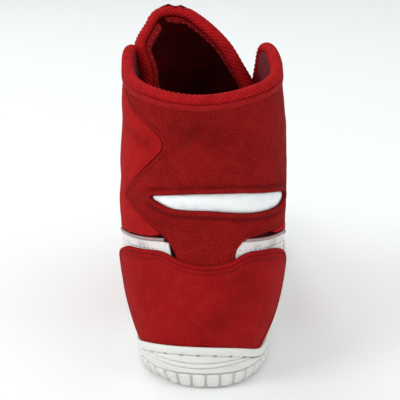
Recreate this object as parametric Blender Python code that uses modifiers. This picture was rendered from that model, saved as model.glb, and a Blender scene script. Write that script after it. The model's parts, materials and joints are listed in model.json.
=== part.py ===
"""High-top boxing boot for the right foot, unlaced.

Frame: +Z up, +Y towards the toe, +X towards the outer (lateral) side of the foot.
The origin is on the flat underside of the outsole, under the middle of the heel. The dimensions below
are in mm from the back of the heel, HEEL_MIDDLE behind the origin.
The upper is cut from flat patterns and wrapped on one smooth form, in layers from overlay to lining.
"""
from math import cos, hypot, pi, radians, sin, tan

import bmesh
import bpy
import numpy as np
from mathutils import Matrix, Vector
from mathutils.geometry import delaunay_2d_cdt

MM = 0.001
HEEL_MIDDLE = 45.0

# Layers of the upper: (outer, inner) distance from the form, in mm, outward positive.
OVERLAY = (1.6, 0.5)
SHELL = (0.0, -1.2)
STIFFENER = (-1.6, -3.4)
PADDING = (-1.8, -3.1)
TAPE = (-1.9, -2.5)
PUFF = (-0.4, -3.0)
LINING = (-4.0, -5.0)

# Sole: heights above the ground, in mm.
OUTSOLE_FLOOR = 4.0
MIDSOLE = (4.4, 6.8)
BOARD = (7.2, 9.0)
SOCKLINER = (9.4, 13.2)
TOE_SPRING = 4.0
SPRING_START_Y = 200.0
RIM_OUTER = 3.8
RIM_INNER = 2.3
LATERAL_CORNER = 1.8
MEDIAL_CORNER = 5.0
CORNER_HEIGHT = 12.0

# Joints, in mm and degrees.
BALL_Y = 205.0
BALL_Z = 10.0
FLEX_DEG = 20.0
LINER_LIFT_DEG = 10.0
TONGUE_AXIS = (0.0, 111.5, 127.0)

SEAM_GAP = 0.4
RIM_DROP = 5.4
THROAT_DROP = 1.5
BINDING_RADIUS = 2.5
PIPING_RADIUS = 1.1
PIPING_GAP = 1.7
STRAP_LAP = 7.0
EYELET_HOLE = 3.4
EYELETS_PER_SIDE = 6
PANEL_SPACING = 9.0

# The form. Stations run from the back of the heel to the tip of the toe, levels from the sole's edge
# to the top line: (x on the lateral side, y, z). The medial side shares y and z.
LEVELS = (0.0, 0.15, 0.35, 0.6, 0.8, 1.0)
LATERAL = (
    ((0, 5, 12), (0, 1, 32.5), (0, 1.5, 60), (0, 5.5, 94), (0, 6.5, 121.5), (0, 5, 149)),
    ((22.3, 14.4, 12), (27, 11, 32.5), (29.5, 13, 60), (30, 17.5, 94), (29.5, 18.5, 122.5), (28.5, 17, 152.5)),
    ((31.5, 45, 11), (38, 46, 32), (42, 47, 61), (42.8, 50, 96), (41.3, 50, 127), (38.4, 48, 158)),
    ((33, 83, 10), (37, 84, 31), (38.5, 86, 58), (38.5, 90, 96), (36.5, 93, 131), (30.8, 93, 160.3)),
    ((39, 125, 10), (42, 124, 28), (40.5, 121, 52), (35.5, 116, 80), (29, 111, 103), (22, 108, 122)),
    ((42, 165, 10), (44, 163, 22), (41, 159, 40), (32, 154, 58), (23, 149, 70), (13.5, 145, 79)),
    ((43, 200, 10), (44, 199, 21), (37.5, 196, 36), (24.5, 192, 50), (11, 189, 57.5), (-4.5, 186, 60)),
    ((39.5, 235, 10.5), (40, 234, 20), (31.5, 231, 33), (17.5, 228, 43), (5.5, 226, 47), (-6.5, 225, 48.5)),
    ((25, 266, 12), (25, 264.5, 21), (18.5, 261, 31), (8.5, 257, 38), (0, 255, 40.5), (-8, 253.5, 41.5)),
    ((-9, 284, 14), (-9, 284, 23), (-9, 279, 31.5), (-9, 272.5, 36.5), (-9, 268.5, 38.3), (-9, 265, 39)),
)
MEDIAL_X = (
    (0, 0, 0, 0, 0, 0),
    (-21.8, -27, -29.5, -30, -29.5, -28.5),
    (-31, -38, -42, -43, -41.9, -39.9),
    (-30, -35, -37.5, -38.5, -40.5, -40),
    (-33, -37, -37.5, -35, -32, -26),
    (-39.5, -43, -41.5, -34, -25.5, -16.5),
    (-46.5, -49, -45, -34, -20.5, -4.5),
    (-47.5, -48.5, -42, -30, -18.5, -6.5),
    (-38, -38.5, -32.5, -23.5, -15.5, -8),
    (-9, -9, -9, -9, -9, -9),
)
MEDIAL_CORNER_BACK = 6.0
MEDIAL_CORNER_DROP = 1.2
LAST_STATION = 9
RIDGE_START = 6
TOP_LENGTH = 34.0
TOP_WIDTH = 72.0
SOLE_STEPS = 28

# Pattern outlines of the upper's side: (distance round the ankle from the heel's centre line,
# lateral positive; height), in mm.
ZIGZAG = [
    (-66, 150), (-50, 145), (-42, 139.5), (-31, 135), (-22, 130.5), (-17.5, 126), (-18.5, 121),
    (-25, 115), (-34, 107), (-48, 94), (-34, 87.5), (-25, 82), (-20, 78),
]
BACK_SEAM_LATERAL = [(60, 80), (62, 90), (63, 104), (69, 122), (66, 140), (63, 152)]
WAIST_MEDIAL = [(-20, 78), (-14.5, 73.5), (-11, 69), (-11, 60)]
WAIST_LATERAL = [(18, 60), (18, 69), (19.5, 73.5), (24, 78), (30, 80), (45, 80), (60, 80)]
UNDER_WING = [(45, 80), (37, 79.9)]
WINDOW = [
    (-28, 97.5), (-22, 93.5), (-14, 92), (0, 93), (18, 92.3), (32, 90.3), (46, 89), (56, 91),
    (59, 95), (52, 98), (39, 99.7), (22, 101.5), (8, 103.2), (-4, 103.2), (-18, 101.5),
]
HEEL_TOP = [
    (-26, 71.5), (-19, 73), (-13, 71), (-7, 68.2), (1, 67), (9, 67), (16, 68.2), (21.5, 71.2), (27, 72),
]
HEEL_LATERAL = [(27, 72), (42, 70), (55, 65.5), (66, 57), (67, 46), (60, 29), (46, 16), (41, 10.5)]
HEEL_MEDIAL = [(-27, 72), (-42, 70), (-55, 64.5), (-64, 57), (-66.5, 45), (-63, 28), (-56, 15), (-54, 10.5)]
STRAP_TOP = [(19, 78), (36, 76), (53, 73.8), (66, 71), (82, 64), (98, 51), (110, 33), (117, 10.5)]
VAMP_SEAM = [(147, 10.5), (151, 28), (164, 44), (188, 54), (214, 57.5)]
FOLD = [(70, 160), (144, 116)]
FOLD_GAP = 1.0
THROAT_END = 214.0
UPPER_FOOT = 10.5
EYELET_SETBACK = 7.5
FACING_WIDTH = 14.0
TAPE_WIDTH = 6.2
TAPE_MARGIN = 3.0

# The tongue's centre line from the base to the tip: x, y, z, half width, how far the edges curve back.
TONGUE = (
    (-3.5, 184, 50, 12, 3),
    (-1.5, 166, 59, 16, 8),
    (-1, 147, 73, 19, 13),
    (-0.5, 128, 94, 22, 18.5),
    (-0.5, 115, 118, 24, 20.5),
    (-1.5, 108, 139, 26.6, 19.5),
    (-6.9, 104, 152, 24.8, 16),
    (-13, 102.5, 162.5, 22.7, 13),
    (-16.8, 101.5, 171.5, 16.3, 8),
    (-18.9, 101, 176.8, 9.8, 3.5),
    (-18.5, 101, 179.6, 3, 1),
)
TONGUE_SPLIT = 4.42
TONGUE_GAP = 0.055
TONGUE_EDGE = 5.6
TONGUE_CROWN = 0.17


class Spline:
    """Weights of a natural or closed cubic spline through values at given knots."""

    def __init__(self, knots, closed):
        self.knots = np.array(knots, float)
        self.closed = closed
        steps = np.diff(self.knots)
        count = len(steps) if closed else len(self.knots)
        left = np.zeros((count, count))
        right = np.zeros((count, count))
        for i in range(count):
            if not closed and i in (0, count - 1):
                left[i, i] = 1.0
                continue
            before, after = steps[i - 1], steps[i]
            left[i, i - 1] += before
            left[i, i] += 2 * (before + after)
            left[i, (i + 1) % count] += after
            right[i, i - 1] += 6 / before
            right[i, i] -= 6 / before + 6 / after
            right[i, (i + 1) % count] += 6 / after
        self.bend = np.linalg.solve(left, right)
        self.count = count

    def weights(self, at):
        at = np.asarray(at, float)
        if self.closed:
            at = np.mod(at, self.knots[-1])
        i = np.clip(np.searchsorted(self.knots, at, side="right") - 1, 0, len(self.knots) - 2)
        step = self.knots[i + 1] - self.knots[i]
        a = (self.knots[i + 1] - at) / step
        b = 1 - a
        j = (i + 1) % self.count
        value = np.eye(self.count)
        near = a[:, None] * value[i] + b[:, None] * value[j]
        curve_a = ((a**3 - a) * step**2 / 6)[:, None] * self.bend[i]
        curve_b = ((b**3 - b) * step**2 / 6)[:, None] * self.bend[j]
        return near + curve_a + curve_b


class Form:
    """The smooth outer shape of the upper: point(u, t), u the station round the boot, t the level."""

    def __init__(self):
        lateral = np.array(LATERAL, float)
        medial = lateral.copy()
        medial[:, :, 0] = MEDIAL_X
        medial[3, 5, 1] -= MEDIAL_CORNER_BACK
        medial[3, 5, 2] -= MEDIAL_CORNER_DROP
        lateral_rows = self.past_top(lateral, medial)
        medial_rows = self.past_top(medial, lateral)
        self.net = np.concatenate([lateral_rows, medial_rows[LAST_STATION - 1:0:-1]])
        self.round = Spline(range(2 * LAST_STATION + 1), closed=True)
        self.level = Spline(LEVELS + (1.2, 1.4), closed=False)
        stations = np.linspace(-LAST_STATION, LAST_STATION, 1441)
        middle = self.point(stations, np.full_like(stations, 0.6))
        arc = np.concatenate([[0], np.cumsum(np.linalg.norm(np.diff(middle, axis=0), axis=1))])
        self.arc_stations = stations
        self.arc = arc - np.interp(0, stations, arc)

    @staticmethod
    def past_top(own, other):
        """Two more levels past the top line: over the ridge on the forefoot, straight on elsewhere."""
        rows = np.zeros((len(own), 8, 3))
        rows[:, :6] = own
        rows[:, 6] = 2 * own[:, 5] - own[:, 4]
        rows[:, 7] = 3 * own[:, 5] - 2 * own[:, 4]
        rows[RIDGE_START:, 6] = other[RIDGE_START:, 4]
        rows[RIDGE_START:, 7] = other[RIDGE_START:, 3]
        return rows

    def point(self, u, t):
        return np.einsum("ni,nj,ijc->nc", self.round.weights(u), self.level.weights(t), self.net)

    def normal(self, u, t):
        """The outward normal, the mean of two nearby ones, since the toe's tip is a pole of the form."""
        step, apart = 0.002, 0.03
        total = 0
        for near in (u - apart, u + apart):
            along = self.point(near + step, t) - self.point(near - step, t)
            upward = self.point(near, t + step) - self.point(near, t - step)
            out = np.cross(along, upward)
            total = total + out / np.linalg.norm(out, axis=1)[:, None]
        return total / np.linalg.norm(total, axis=1)[:, None]

    def station(self, arc):
        """Station at a distance round the ankle from the heel's centre line, lateral positive."""
        return np.interp(arc, self.arc, self.arc_stations)

    def from_side(self, pattern):
        """(u, t) of side-pattern points (distance round from the heel's centre line, height)."""
        pattern = np.asarray(pattern, float)
        u = self.station(pattern[:, 0])
        levels = np.linspace(-0.1, 1.15, 126)
        grid_u = np.repeat(u, len(levels))
        grid_t = np.tile(levels, len(u))
        heights = self.point(grid_u, grid_t)[:, 2].reshape(len(u), -1)
        heights = np.maximum.accumulate(heights + levels * 1e-6, axis=1)
        t = np.array([np.interp(z, row, levels) for z, row in zip(pattern[:, 1], heights)])
        return u, t

    def from_top(self, pattern):
        """(u, t) of forefoot-pattern points (TOP_LENGTH x station, TOP_WIDTH x how far from the ridge)."""
        pattern = np.asarray(pattern, float)
        along = pattern[:, 0] / TOP_LENGTH
        across = pattern[:, 1] / TOP_WIDTH
        u = np.where(across >= 0, along, 2 * LAST_STATION - along)
        return u, 1 - np.abs(across)

    def top_line(self, arc, drop=0.0):
        """Height of the top line at a distance round the ankle, less a drop."""
        u = self.station(np.atleast_1d(np.asarray(arc, float)))
        return self.point(u, np.ones_like(u))[:, 2] - drop


FORM = Form()


# ---------------------------------------------------------------- scene helpers

def new_collection(name):
    collection = bpy.data.collections.new(name)
    bpy.context.scene.collection.children.link(collection)
    return collection


def new_material(name, colour, roughness, metallic=0.0):
    material = bpy.data.materials.new(name)
    material.use_nodes = True
    shader = material.node_tree.nodes["Principled BSDF"]
    shader.inputs["Base Color"].default_value = (*colour, 1)
    shader.inputs["Roughness"].default_value = roughness
    shader.inputs["Metallic"].default_value = metallic
    material.diffuse_color = (*colour, 1)
    return material


def new_object(name, mesh, material, parent=None, smooth=True):
    thing = bpy.data.objects.new(name, mesh)
    BOOT.objects.link(thing)
    mesh.materials.append(material)
    if smooth:
        mesh.shade_smooth()
        mesh.set_sharp_from_angle(angle=radians(40))
    if parent is not None:
        thing.parent = parent
        thing.matrix_parent_inverse = parent.matrix_world.inverted()
    return thing


def new_empty(name, place, direction):
    empty = bpy.data.objects.new(name, None)
    BOOT.objects.link(empty)
    turn = Vector(direction).normalized().to_track_quat("X", "Z").to_matrix().to_4x4()
    empty.matrix_world = Matrix.Translation(Vector(in_metres(place))) @ turn
    bpy.context.view_layer.update()
    return empty


def in_metres(points):
    """Points in mm from the back of the heel, as metres from the origin."""
    return (np.asarray(points, float) - (0, HEEL_MIDDLE, 0)) * MM


def mesh_from(name, points, faces):
    mesh = bpy.data.meshes.new(name)
    mesh.from_pydata([tuple(p) for p in in_metres(points)], [], [tuple(map(int, f)) for f in faces])
    mesh.validate()
    return mesh


def closed_mesh(name, points, faces, merge=0.01):
    """A mesh whose coincident points are merged and whose faces all point outwards."""
    mesh = mesh_from(name, points, faces)
    work = bmesh.new()
    work.from_mesh(mesh)
    bmesh.ops.remove_doubles(work, verts=work.verts, dist=merge * MM)
    bmesh.ops.dissolve_degenerate(work, edges=work.edges, dist=1e-7)
    bmesh.ops.recalc_face_normals(work, faces=work.faces)
    if work.calc_volume(signed=True) < 0:
        bmesh.ops.reverse_faces(work, faces=work.faces)
    work.to_mesh(mesh)
    work.free()
    return mesh


# ---------------------------------------------------------------- flat patterns

def resample(points, spacing, closed=False):
    """Points along a line with no step longer than spacing. The given corners stay."""
    points = [tuple(map(float, p)) for p in points]
    ends = points[1:] + ([points[0]] if closed else [])
    line = []
    for start, end in zip(points, ends):
        steps = max(1, int(np.ceil(hypot(end[0] - start[0], end[1] - start[1]) / spacing)))
        for k in range(steps):
            f = k / steps
            line.append((start[0] + f * (end[0] - start[0]), start[1] + f * (end[1] - start[1])))
    if not closed:
        line.append(points[-1])
    return line


def smooth_line(points, steps=3):
    """A Catmull-Rom curve through the points."""
    p = [np.array(q, float) for q in points]
    p = [2 * p[0] - p[1]] + p + [2 * p[-1] - p[-2]]
    line = []
    for k in range(1, len(p) - 2):
        for f in np.arange(steps) / steps:
            line.append(
                0.5 * (2 * p[k] + (p[k + 1] - p[k - 1]) * f
                       + (2 * p[k - 1] - 5 * p[k] + 4 * p[k + 1] - p[k + 2]) * f**2
                       + (3 * p[k] - p[k - 1] - 3 * p[k + 1] + p[k + 2]) * f**3)
            )
    line.append(p[-2])
    return [tuple(q) for q in line]


def inside(points, outline):
    """Which points lie inside a closed outline."""
    x, y = np.asarray(points, float).T
    found = np.zeros(len(x), bool)
    for (x0, y0), (x1, y1) in zip(outline, outline[1:] + outline[:1]):
        crosses = (y0 > y) != (y1 > y)
        run = (x1 - x0) * (y - y0) / ((y1 - y0) if y1 != y0 else 1.0) + x0
        found ^= crosses & (x < run)
    return found


def distance_to(points, outline):
    """Distance from each point to a closed outline."""
    points = np.asarray(points, float)
    best = np.full(len(points), 1e9)
    for start, end in zip(outline, outline[1:] + outline[:1]):
        a, b = np.array(start), np.array(end)
        run = b - a
        f = np.clip(((points - a) @ run) / max(run @ run, 1e-12), 0, 1)
        best = np.minimum(best, np.linalg.norm(points - a - f[:, None] * run, axis=1))
    return best


def inset(outline, distance):
    """A closed outline moved inwards by mitred edges, for seam gaps and overlaps."""
    ahead = outline[1:] + outline[:1]
    p = np.array([a for a, b in zip(outline, ahead) if hypot(a[0] - b[0], a[1] - b[1]) > 0.05], float)
    area = 0.5 * np.sum(p[:, 0] * np.roll(p[:, 1], -1) - np.roll(p[:, 0], -1) * p[:, 1])
    run = np.roll(p, -1, axis=0) - p
    run /= np.linalg.norm(run, axis=1)[:, None]
    side = np.stack([-run[:, 1], run[:, 0]], axis=1) * np.sign(area)
    before = np.roll(side, 1, axis=0)
    mitre = before + side
    mitre /= np.maximum(np.sum(mitre * side, axis=1), 0.4)[:, None]
    return [tuple(q) for q in p + mitre * distance]


def pattern_mesh(outline, holes=(), spacing=PANEL_SPACING):
    """Triangles that fill a flat outline, less its holes, with evenly spread inner points."""
    loops = [resample(outline, spacing, closed=True)] + [list(h) for h in holes]
    corners = np.array(loops[0])
    low, high = corners.min(0), corners.max(0)
    rows = np.arange(low[1], high[1], spacing * 0.87)
    grid = [
        (x + (k % 2) * spacing / 2, y)
        for k, y in enumerate(rows)
        for x in np.arange(low[0], high[0], spacing)
    ]
    if grid:
        keep = inside(grid, loops[0]) & (distance_to(grid, loops[0]) > 0.55 * spacing)
        for hole in loops[1:]:
            keep &= ~inside(grid, hole) & (distance_to(grid, hole) > 0.4 * spacing)
        grid = [g for g, k in zip(grid, keep) if k]
    points, edges = [], []
    for loop in loops:
        first = len(points)
        points += loop
        edges += [(first + k, first + (k + 1) % len(loop)) for k in range(len(loop))]
    points += grid
    made = delaunay_2d_cdt([Vector(p) for p in points], edges, [], 0, 1e-5)
    points = np.array([tuple(v) for v in made[0]])
    faces = np.array([f for f in made[2] if len(f) == 3])
    corners = points[faces]
    (across, up), (over, high) = (corners[:, 1] - corners[:, 0]).T, (corners[:, 2] - corners[:, 0]).T
    centres = corners.mean(1)
    keep = inside(centres, loops[0]) & (np.abs(across * high - up * over) > 0.02)
    for hole in loops[1:]:
        keep &= ~inside(centres, hole)
    return points, faces[keep]


def wrapped_panel(name, outline, layer, material, parent=None, holes=(), lay=None, spacing=PANEL_SPACING):
    """A pattern wrapped on the form as an open sheet at the layer's outer face, then solidified."""
    points, faces = pattern_mesh(outline, holes, spacing)
    u, t = (lay or FORM.from_side)(points)
    used = sorted(set(faces.ravel()))
    place = {old: new for new, old in enumerate(used)}
    normals = FORM.normal(u, t)
    wrapped = FORM.point(u, t) + normals * layer[0]
    faces = np.array([[place[i] for i in f] for f in faces])
    wrapped, normals = wrapped[used], normals[used]
    corners = wrapped[faces]
    facing = np.cross(corners[:, 1] - corners[:, 0], corners[:, 2] - corners[:, 0])
    if np.sum(facing * normals[faces[:, 0]]) < 0:
        faces = faces[:, ::-1]
    mesh = mesh_from(name, wrapped, faces)
    work = bmesh.new()
    work.from_mesh(mesh)
    bmesh.ops.remove_doubles(work, verts=work.verts, dist=0.02 * MM)
    work.to_mesh(mesh)
    work.free()
    panel = new_object(name, mesh, material, parent)
    thicken = panel.modifiers.new("thickness", "SOLIDIFY")
    thicken.thickness = (layer[0] - layer[1]) * MM
    thicken.offset = -1
    return panel


def circle(centre, radius, sides=10):
    """The side-pattern outline that becomes a true circle on the form."""
    step = 0.5
    nearby = [(centre[0] + step, centre[1]), (centre[0] - step, centre[1]),
              (centre[0], centre[1] + step), (centre[0], centre[1] - step)]
    east, west, north, south = FORM.point(*FORM.from_side(nearby))
    stretch = np.stack([east - west, north - south], axis=1) / (2 * step)
    flatten = np.linalg.inv(np.linalg.qr(stretch)[1])
    turns = [2 * pi * k / sides for k in range(sides)]
    return [tuple(np.array(centre) + flatten @ (radius * cos(a), radius * sin(a))) for a in turns]


def tube(name, points, radius, material, parent=None, resolution=2):
    """A capped round tube along a line of points, as a mesh."""
    curve = bpy.data.curves.new(name, "CURVE")
    curve.dimensions = "3D"
    curve.bevel_depth = radius * MM
    curve.bevel_resolution = resolution
    curve.use_fill_caps = True
    line = curve.splines.new("POLY")
    line.points.add(len(points) - 1)
    for point, place in zip(line.points, in_metres(points)):
        point.co = (*place, 1)
    rail = bpy.data.objects.new(name + "_rail", curve)
    BOOT.objects.link(rail)
    bpy.context.view_layer.update()
    evaluated = rail.evaluated_get(bpy.context.evaluated_depsgraph_get())
    mesh = bpy.data.meshes.new_from_object(evaluated)
    mesh.name = name
    bpy.data.objects.remove(rail)
    work = bmesh.new()
    work.from_mesh(mesh)
    bmesh.ops.remove_doubles(work, verts=work.verts, dist=1e-5)
    bmesh.ops.recalc_face_normals(work, faces=work.faces)
    work.to_mesh(mesh)
    work.free()
    mesh.materials.clear()
    return new_object(name, mesh, material, parent)


def mirrored(line, side):
    """A lateral outline, or its medial twin."""
    return [(side * a, z) for a, z in line]


def fold_line(side, gap):
    """The fold of the collar's front corner, moved by a gap towards the front."""
    (a0, z0), (a1, z1) = FOLD
    length = hypot(a1 - a0, z1 - z0)
    across = ((z0 - z1) / length, (a1 - a0) / length)
    shifted = [(a + gap * across[0], z + gap * across[1]) for a, z in FOLD]
    return mirrored(shifted, side)


def rim_line(start, end, drop, spacing=7.0):
    """Points along the top line from one distance round to another."""
    arcs = np.linspace(start, end, max(2, int(abs(end - start) / spacing) + 1))
    return [(a, z) for a, z in zip(arcs, FORM.top_line(arcs, drop))]


def meet_top(side, gap, drop, front):
    """Where the fold line meets the top line: at the rim, or at the throat when front is set."""
    (a0, z0), (a1, z1) = [(side * a, z) for a, z in fold_line(side, gap)]
    steps = np.linspace(-0.4, 1.5, 400)
    arcs = a0 + steps * (a1 - a0)
    heights = z0 + steps * (z1 - z0)
    above = heights - FORM.top_line(side * arcs, drop)
    turns = [k for k in range(len(steps) - 1) if above[k] * above[k + 1] <= 0]
    k = turns[-1] if front else turns[0]
    return float(arcs[k]), float(heights[k])


def side_bottom(start, end, spacing=12.0):
    """Points along the lower edge of the upper's side pattern."""
    steps = max(2, int(abs(end - start) / spacing) + 1)
    return [(a, UPPER_FOOT) for a in np.linspace(start, end, steps)]


def eyelet_arcs(side):
    """Where the eyelets of one row stand along the throat."""
    throat_a, _ = meet_top(side, 0.0, 0.0, front=True)
    return np.linspace(THROAT_END - 12.0, throat_a + 7.0, EYELETS_PER_SIDE)


def eyelet_places(side):
    """Pattern points of one row of eyelets, set back from the edge."""
    return top_edge(side, eyelet_arcs(side), EYELET_SETBACK)


def beside(line, distance):
    """A line of points moved to its left by a distance."""
    p = np.array(line, float)
    run = np.gradient(p, axis=0)
    run /= np.linalg.norm(run, axis=1)[:, None]
    return [tuple(q) for q in p + distance * np.stack([-run[:, 1], run[:, 0]], axis=1)]


# ---------------------------------------------------------------- the upper's rear half

def quarter(side, back_seam):
    """Side panel from the back seam to the vamp, from the strap to the throat and the fold."""
    rim_a, _ = meet_top(side, -FOLD_GAP, RIM_DROP, front=False)
    throat_a, _ = meet_top(side, -FOLD_GAP, THROAT_DROP, front=True)
    seam_a, _ = back_seam[0]
    lower_edge = mirrored(resample(beside(STRAP_TOP, PIPING_GAP), 8), side)
    lower_start = max(abs(back_seam[-1][0]) + 1, 27)
    lower_edge = [p for p in lower_edge if abs(p[0]) > lower_start]
    throat = top_edge(side, np.linspace(THROAT_END - 1, throat_a, 11), THROAT_DROP)
    rim = [(a, FORM.top_line(a, RIM_DROP)[0]) for a in np.linspace(side * rim_a, seam_a, 3)]
    outline = back_seam + lower_edge[:-1] + [(side * 119.5, UPPER_FOOT)]
    outline += side_bottom(side * 131, side * 147, 8)[:-1]
    outline += mirrored(VAMP_SEAM, side) + throat + rim
    return inset(outline, SEAM_GAP / 2)


def top_edge(side, arcs, setback):
    """Points of the top line, moved into the upper by a true distance on the form."""
    arcs = np.asarray(arcs, float)
    edge = np.stack([arcs, FORM.top_line(side * arcs)], axis=1)
    slope = (FORM.top_line(side * (arcs + 1)) - FORM.top_line(side * (arcs - 1))) / 2
    inward = np.stack([slope, -np.ones_like(slope)], axis=1) / np.hypot(1, slope)[:, None]
    start = FORM.point(*FORM.from_side(mirrored(edge, side)))
    reach = np.full(len(edge), float(setback))
    for _ in range(3):
        moved = FORM.point(*FORM.from_side(mirrored(edge + inward * reach[:, None], side)))
        reach *= setback / np.linalg.norm(moved - start, axis=1)
    return mirrored(edge + inward * reach[:, None], side)


def flap_outline(side, setback=RIM_DROP, gap=FOLD_GAP):
    """The collar's front corner, from the fold to the top line."""
    edge = mirrored(top_edge(side, np.arange(55.0, 170.0, 0.5), setback), side)
    (a0, z0), (a1, z1) = fold_line(1, gap)
    kept = [(a, z) for a, z in edge if (z - z0) * (a1 - a0) - (a - a0) * (z1 - z0) > 0]
    kept = kept[6:-6]
    ends = []
    for a, z in (kept[-1], kept[0]):
        f = ((a - a0) * (a1 - a0) + (z - z0) * (z1 - z0)) / ((a1 - a0) ** 2 + (z1 - z0) ** 2)
        ends.append((a0 + f * (a1 - a0), z0 + f * (z1 - z0)))
    return mirrored(kept[:-1:10] + kept[-1:] + ends, side)


def throat_facing(side):
    """Strip along the throat's edge, below the fold."""
    throat_a, _ = meet_top(side, -FOLD_GAP, THROAT_DROP, front=True)
    arcs = np.linspace(THROAT_END - 3, throat_a + 1.5, 11)
    edge = mirrored(top_edge(side, arcs, THROAT_DROP), side)
    inner = mirrored(top_edge(side, arcs, THROAT_DROP + FACING_WIDTH), side)
    (a0, z0), (a1, z1) = fold_line(1, -FOLD_GAP - 0.3)
    kept = [(a, z) for a, z in inner if (z - z0) * (a1 - a0) - (a - a0) * (z1 - z0) < -0.5]
    return mirrored(edge + kept[::-1], side)


def build_back(colours):
    zigzag = [(ZIGZAG[0][0], float(FORM.top_line(ZIGZAG[0][0], RIM_DROP)[0]))] + ZIGZAG[1:]
    lateral_seam = BACK_SEAM_LATERAL[:-1] + [(63, float(FORM.top_line(63, RIM_DROP)[0]))]
    rim = rim_line(63, ZIGZAG[0][0], RIM_DROP)[1:-1]
    outline = zigzag[:-1] + WAIST_MEDIAL + WAIST_LATERAL[:-1] + lateral_seam + rim
    wrapped_panel("back_panel", inset(outline, SEAM_GAP / 2), SHELL, colours["suede"], holes=[WINDOW])
    wrapped_panel("window_insert", inset(WINDOW, 0.5), (0.2, -1.4), colours["gloss_white"])
    quarter_material = colours["suede_side"]
    wrapped_panel("quarter_medial", quarter(-1, zigzag), SHELL, quarter_material,
                  holes=[circle(c, EYELET_HOLE) for c in eyelet_places(-1)])
    wrapped_panel("quarter_lateral", quarter(1, lateral_seam[::-1] + UNDER_WING), SHELL, quarter_material,
                  holes=[circle(c, EYELET_HOLE) for c in eyelet_places(1)])


def build_straps(colours):
    for side, name in ((1, "lateral"), (-1, "medial")):
        start = 21.0 if side == 1 else 17.5
        top = [(start, 72.0), (start + 4, 75.2)] + beside(STRAP_TOP, -PIPING_GAP)[1:-1]
        top += [(115.0, UPPER_FOOT)]
        lower = beside(HEEL_LATERAL if side == 1 else mirrored(HEEL_MEDIAL, -1), -STRAP_LAP)[2:-1]
        lower = [(lower[-1][0] - 3, UPPER_FOOT)] + lower[::-1] + [(38, 63.5), (start, 64.5)]
        wrapped_panel(f"strap_{name}", mirrored(top + lower, side), SHELL, colours["white_leather"])
        route = smooth_line(mirrored([(28, 77.2)] + STRAP_TOP[1:-1] + [(116, 15)], side), 3)
        u, t = FORM.from_side(route)
        cord = FORM.point(u, t) - FORM.normal(u, t) * 0.4
        tube(f"piping_{name}", cord, PIPING_RADIUS, colours["piping"], resolution=1)


def build_heel(colours):
    foot = side_bottom(HEEL_LATERAL[-1][0], HEEL_MEDIAL[-1][0])[1:-1]
    outline = HEEL_MEDIAL[::-1] + HEEL_TOP[1:-1] + HEEL_LATERAL + foot
    wrapped_panel("heel_panel", outline, OVERLAY, colours["suede"])
    edge = [(80, UPPER_FOOT), (75, 26), (66, 38.5), (57, 47.5), (46, 55), (24, 58.5)]
    counter = mirrored(edge, -1) + edge[::-1] + side_bottom(80, -80)[1:-1]
    wrapped_panel("heel_counter", counter, STIFFENER, colours["board"])


def build_inner(colours):
    throat = {}
    for side in (1, -1):
        arc, _ = meet_top(side, -FOLD_GAP, THROAT_DROP, front=True)
        throat[side] = top_edge(side, np.linspace(THROAT_END - 1, arc, 10), THROAT_DROP)
    rim_a = {side: meet_top(side, -FOLD_GAP, RIM_DROP, front=False)[0] for side in (1, -1)}
    rim = rim_line(rim_a[1], -rim_a[-1], RIM_DROP, 8)
    outline = side_bottom(-147, 147) + VAMP_SEAM[1:] + throat[1] + rim + throat[-1][::-1]
    outline += mirrored(VAMP_SEAM[1:], -1)[::-1]
    holes = [circle(c, EYELET_HOLE) for side in (1, -1) for c in eyelet_places(side)]
    wrapped_panel("lining_shaft", inset(outline, 0.3), LINING, colours["lining"], holes=holes, spacing=12.0)
    pad_top = rim_line(66, -66, RIM_DROP + 1.5)
    pad = [(-66, 122), (-40, 117), (0, 116), (40, 117), (66, 122)] + pad_top
    wrapped_panel("collar_padding", pad, PADDING, colours["foam"], spacing=9.0)
    ends = [meet_top(side, -FOLD_GAP, BINDING_RADIUS, front=False)[0] - 0.5 for side in (-1, 1)]
    rim_tube(colours, "collar_binding", -ends[0], ends[1], None)


def rim_tube(colours, name, start, end, parent):
    """The rolled binding along the top line, as thick as the wall that it wraps."""
    arcs = np.linspace(start, end, int(abs(end - start) / 5) + 2)
    u = FORM.station(arcs)
    top = np.ones_like(u)
    edge = FORM.point(u, top)
    normal = FORM.normal(u, top)
    inward = np.cross(normal, np.gradient(edge, axis=0))
    inward /= np.linalg.norm(inward, axis=1)[:, None]
    inward *= np.where(inward[:, 2] > 0, -1, 1)[:, None]
    route = edge - normal * 2.5 + inward * (BINDING_RADIUS + 0.1)
    tube(name, route, BINDING_RADIUS, colours["binding"], parent, resolution=2)


# ---------------------------------------------------------------- facings, eyelets and flaps

def eyelet_ring(centre, normal, sides=8):
    """One flanged eyelet, its axis along the normal."""
    profile = [(1.9, -2.8), (2.6, -2.8), (2.6, 1.9), (3.9, 1.9), (3.4, 2.5), (1.9, 2.6)]
    count = len(profile)
    turn = Vector(normal).to_track_quat("Z", "Y").to_matrix()
    points, faces = [], []
    for k in range(sides):
        angle = 2 * pi * k / sides
        for radius, height in profile:
            local = turn @ Vector((radius * cos(angle), radius * sin(angle), height))
            points.append(np.array(centre) + np.array(local))
        for j in range(count):
            a, b = k * count + j, k * count + (j + 1) % count
            ahead = ((k + 1) % sides - k) * count
            faces.append((a, a + ahead, b + ahead, b))
    return points, faces


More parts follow.
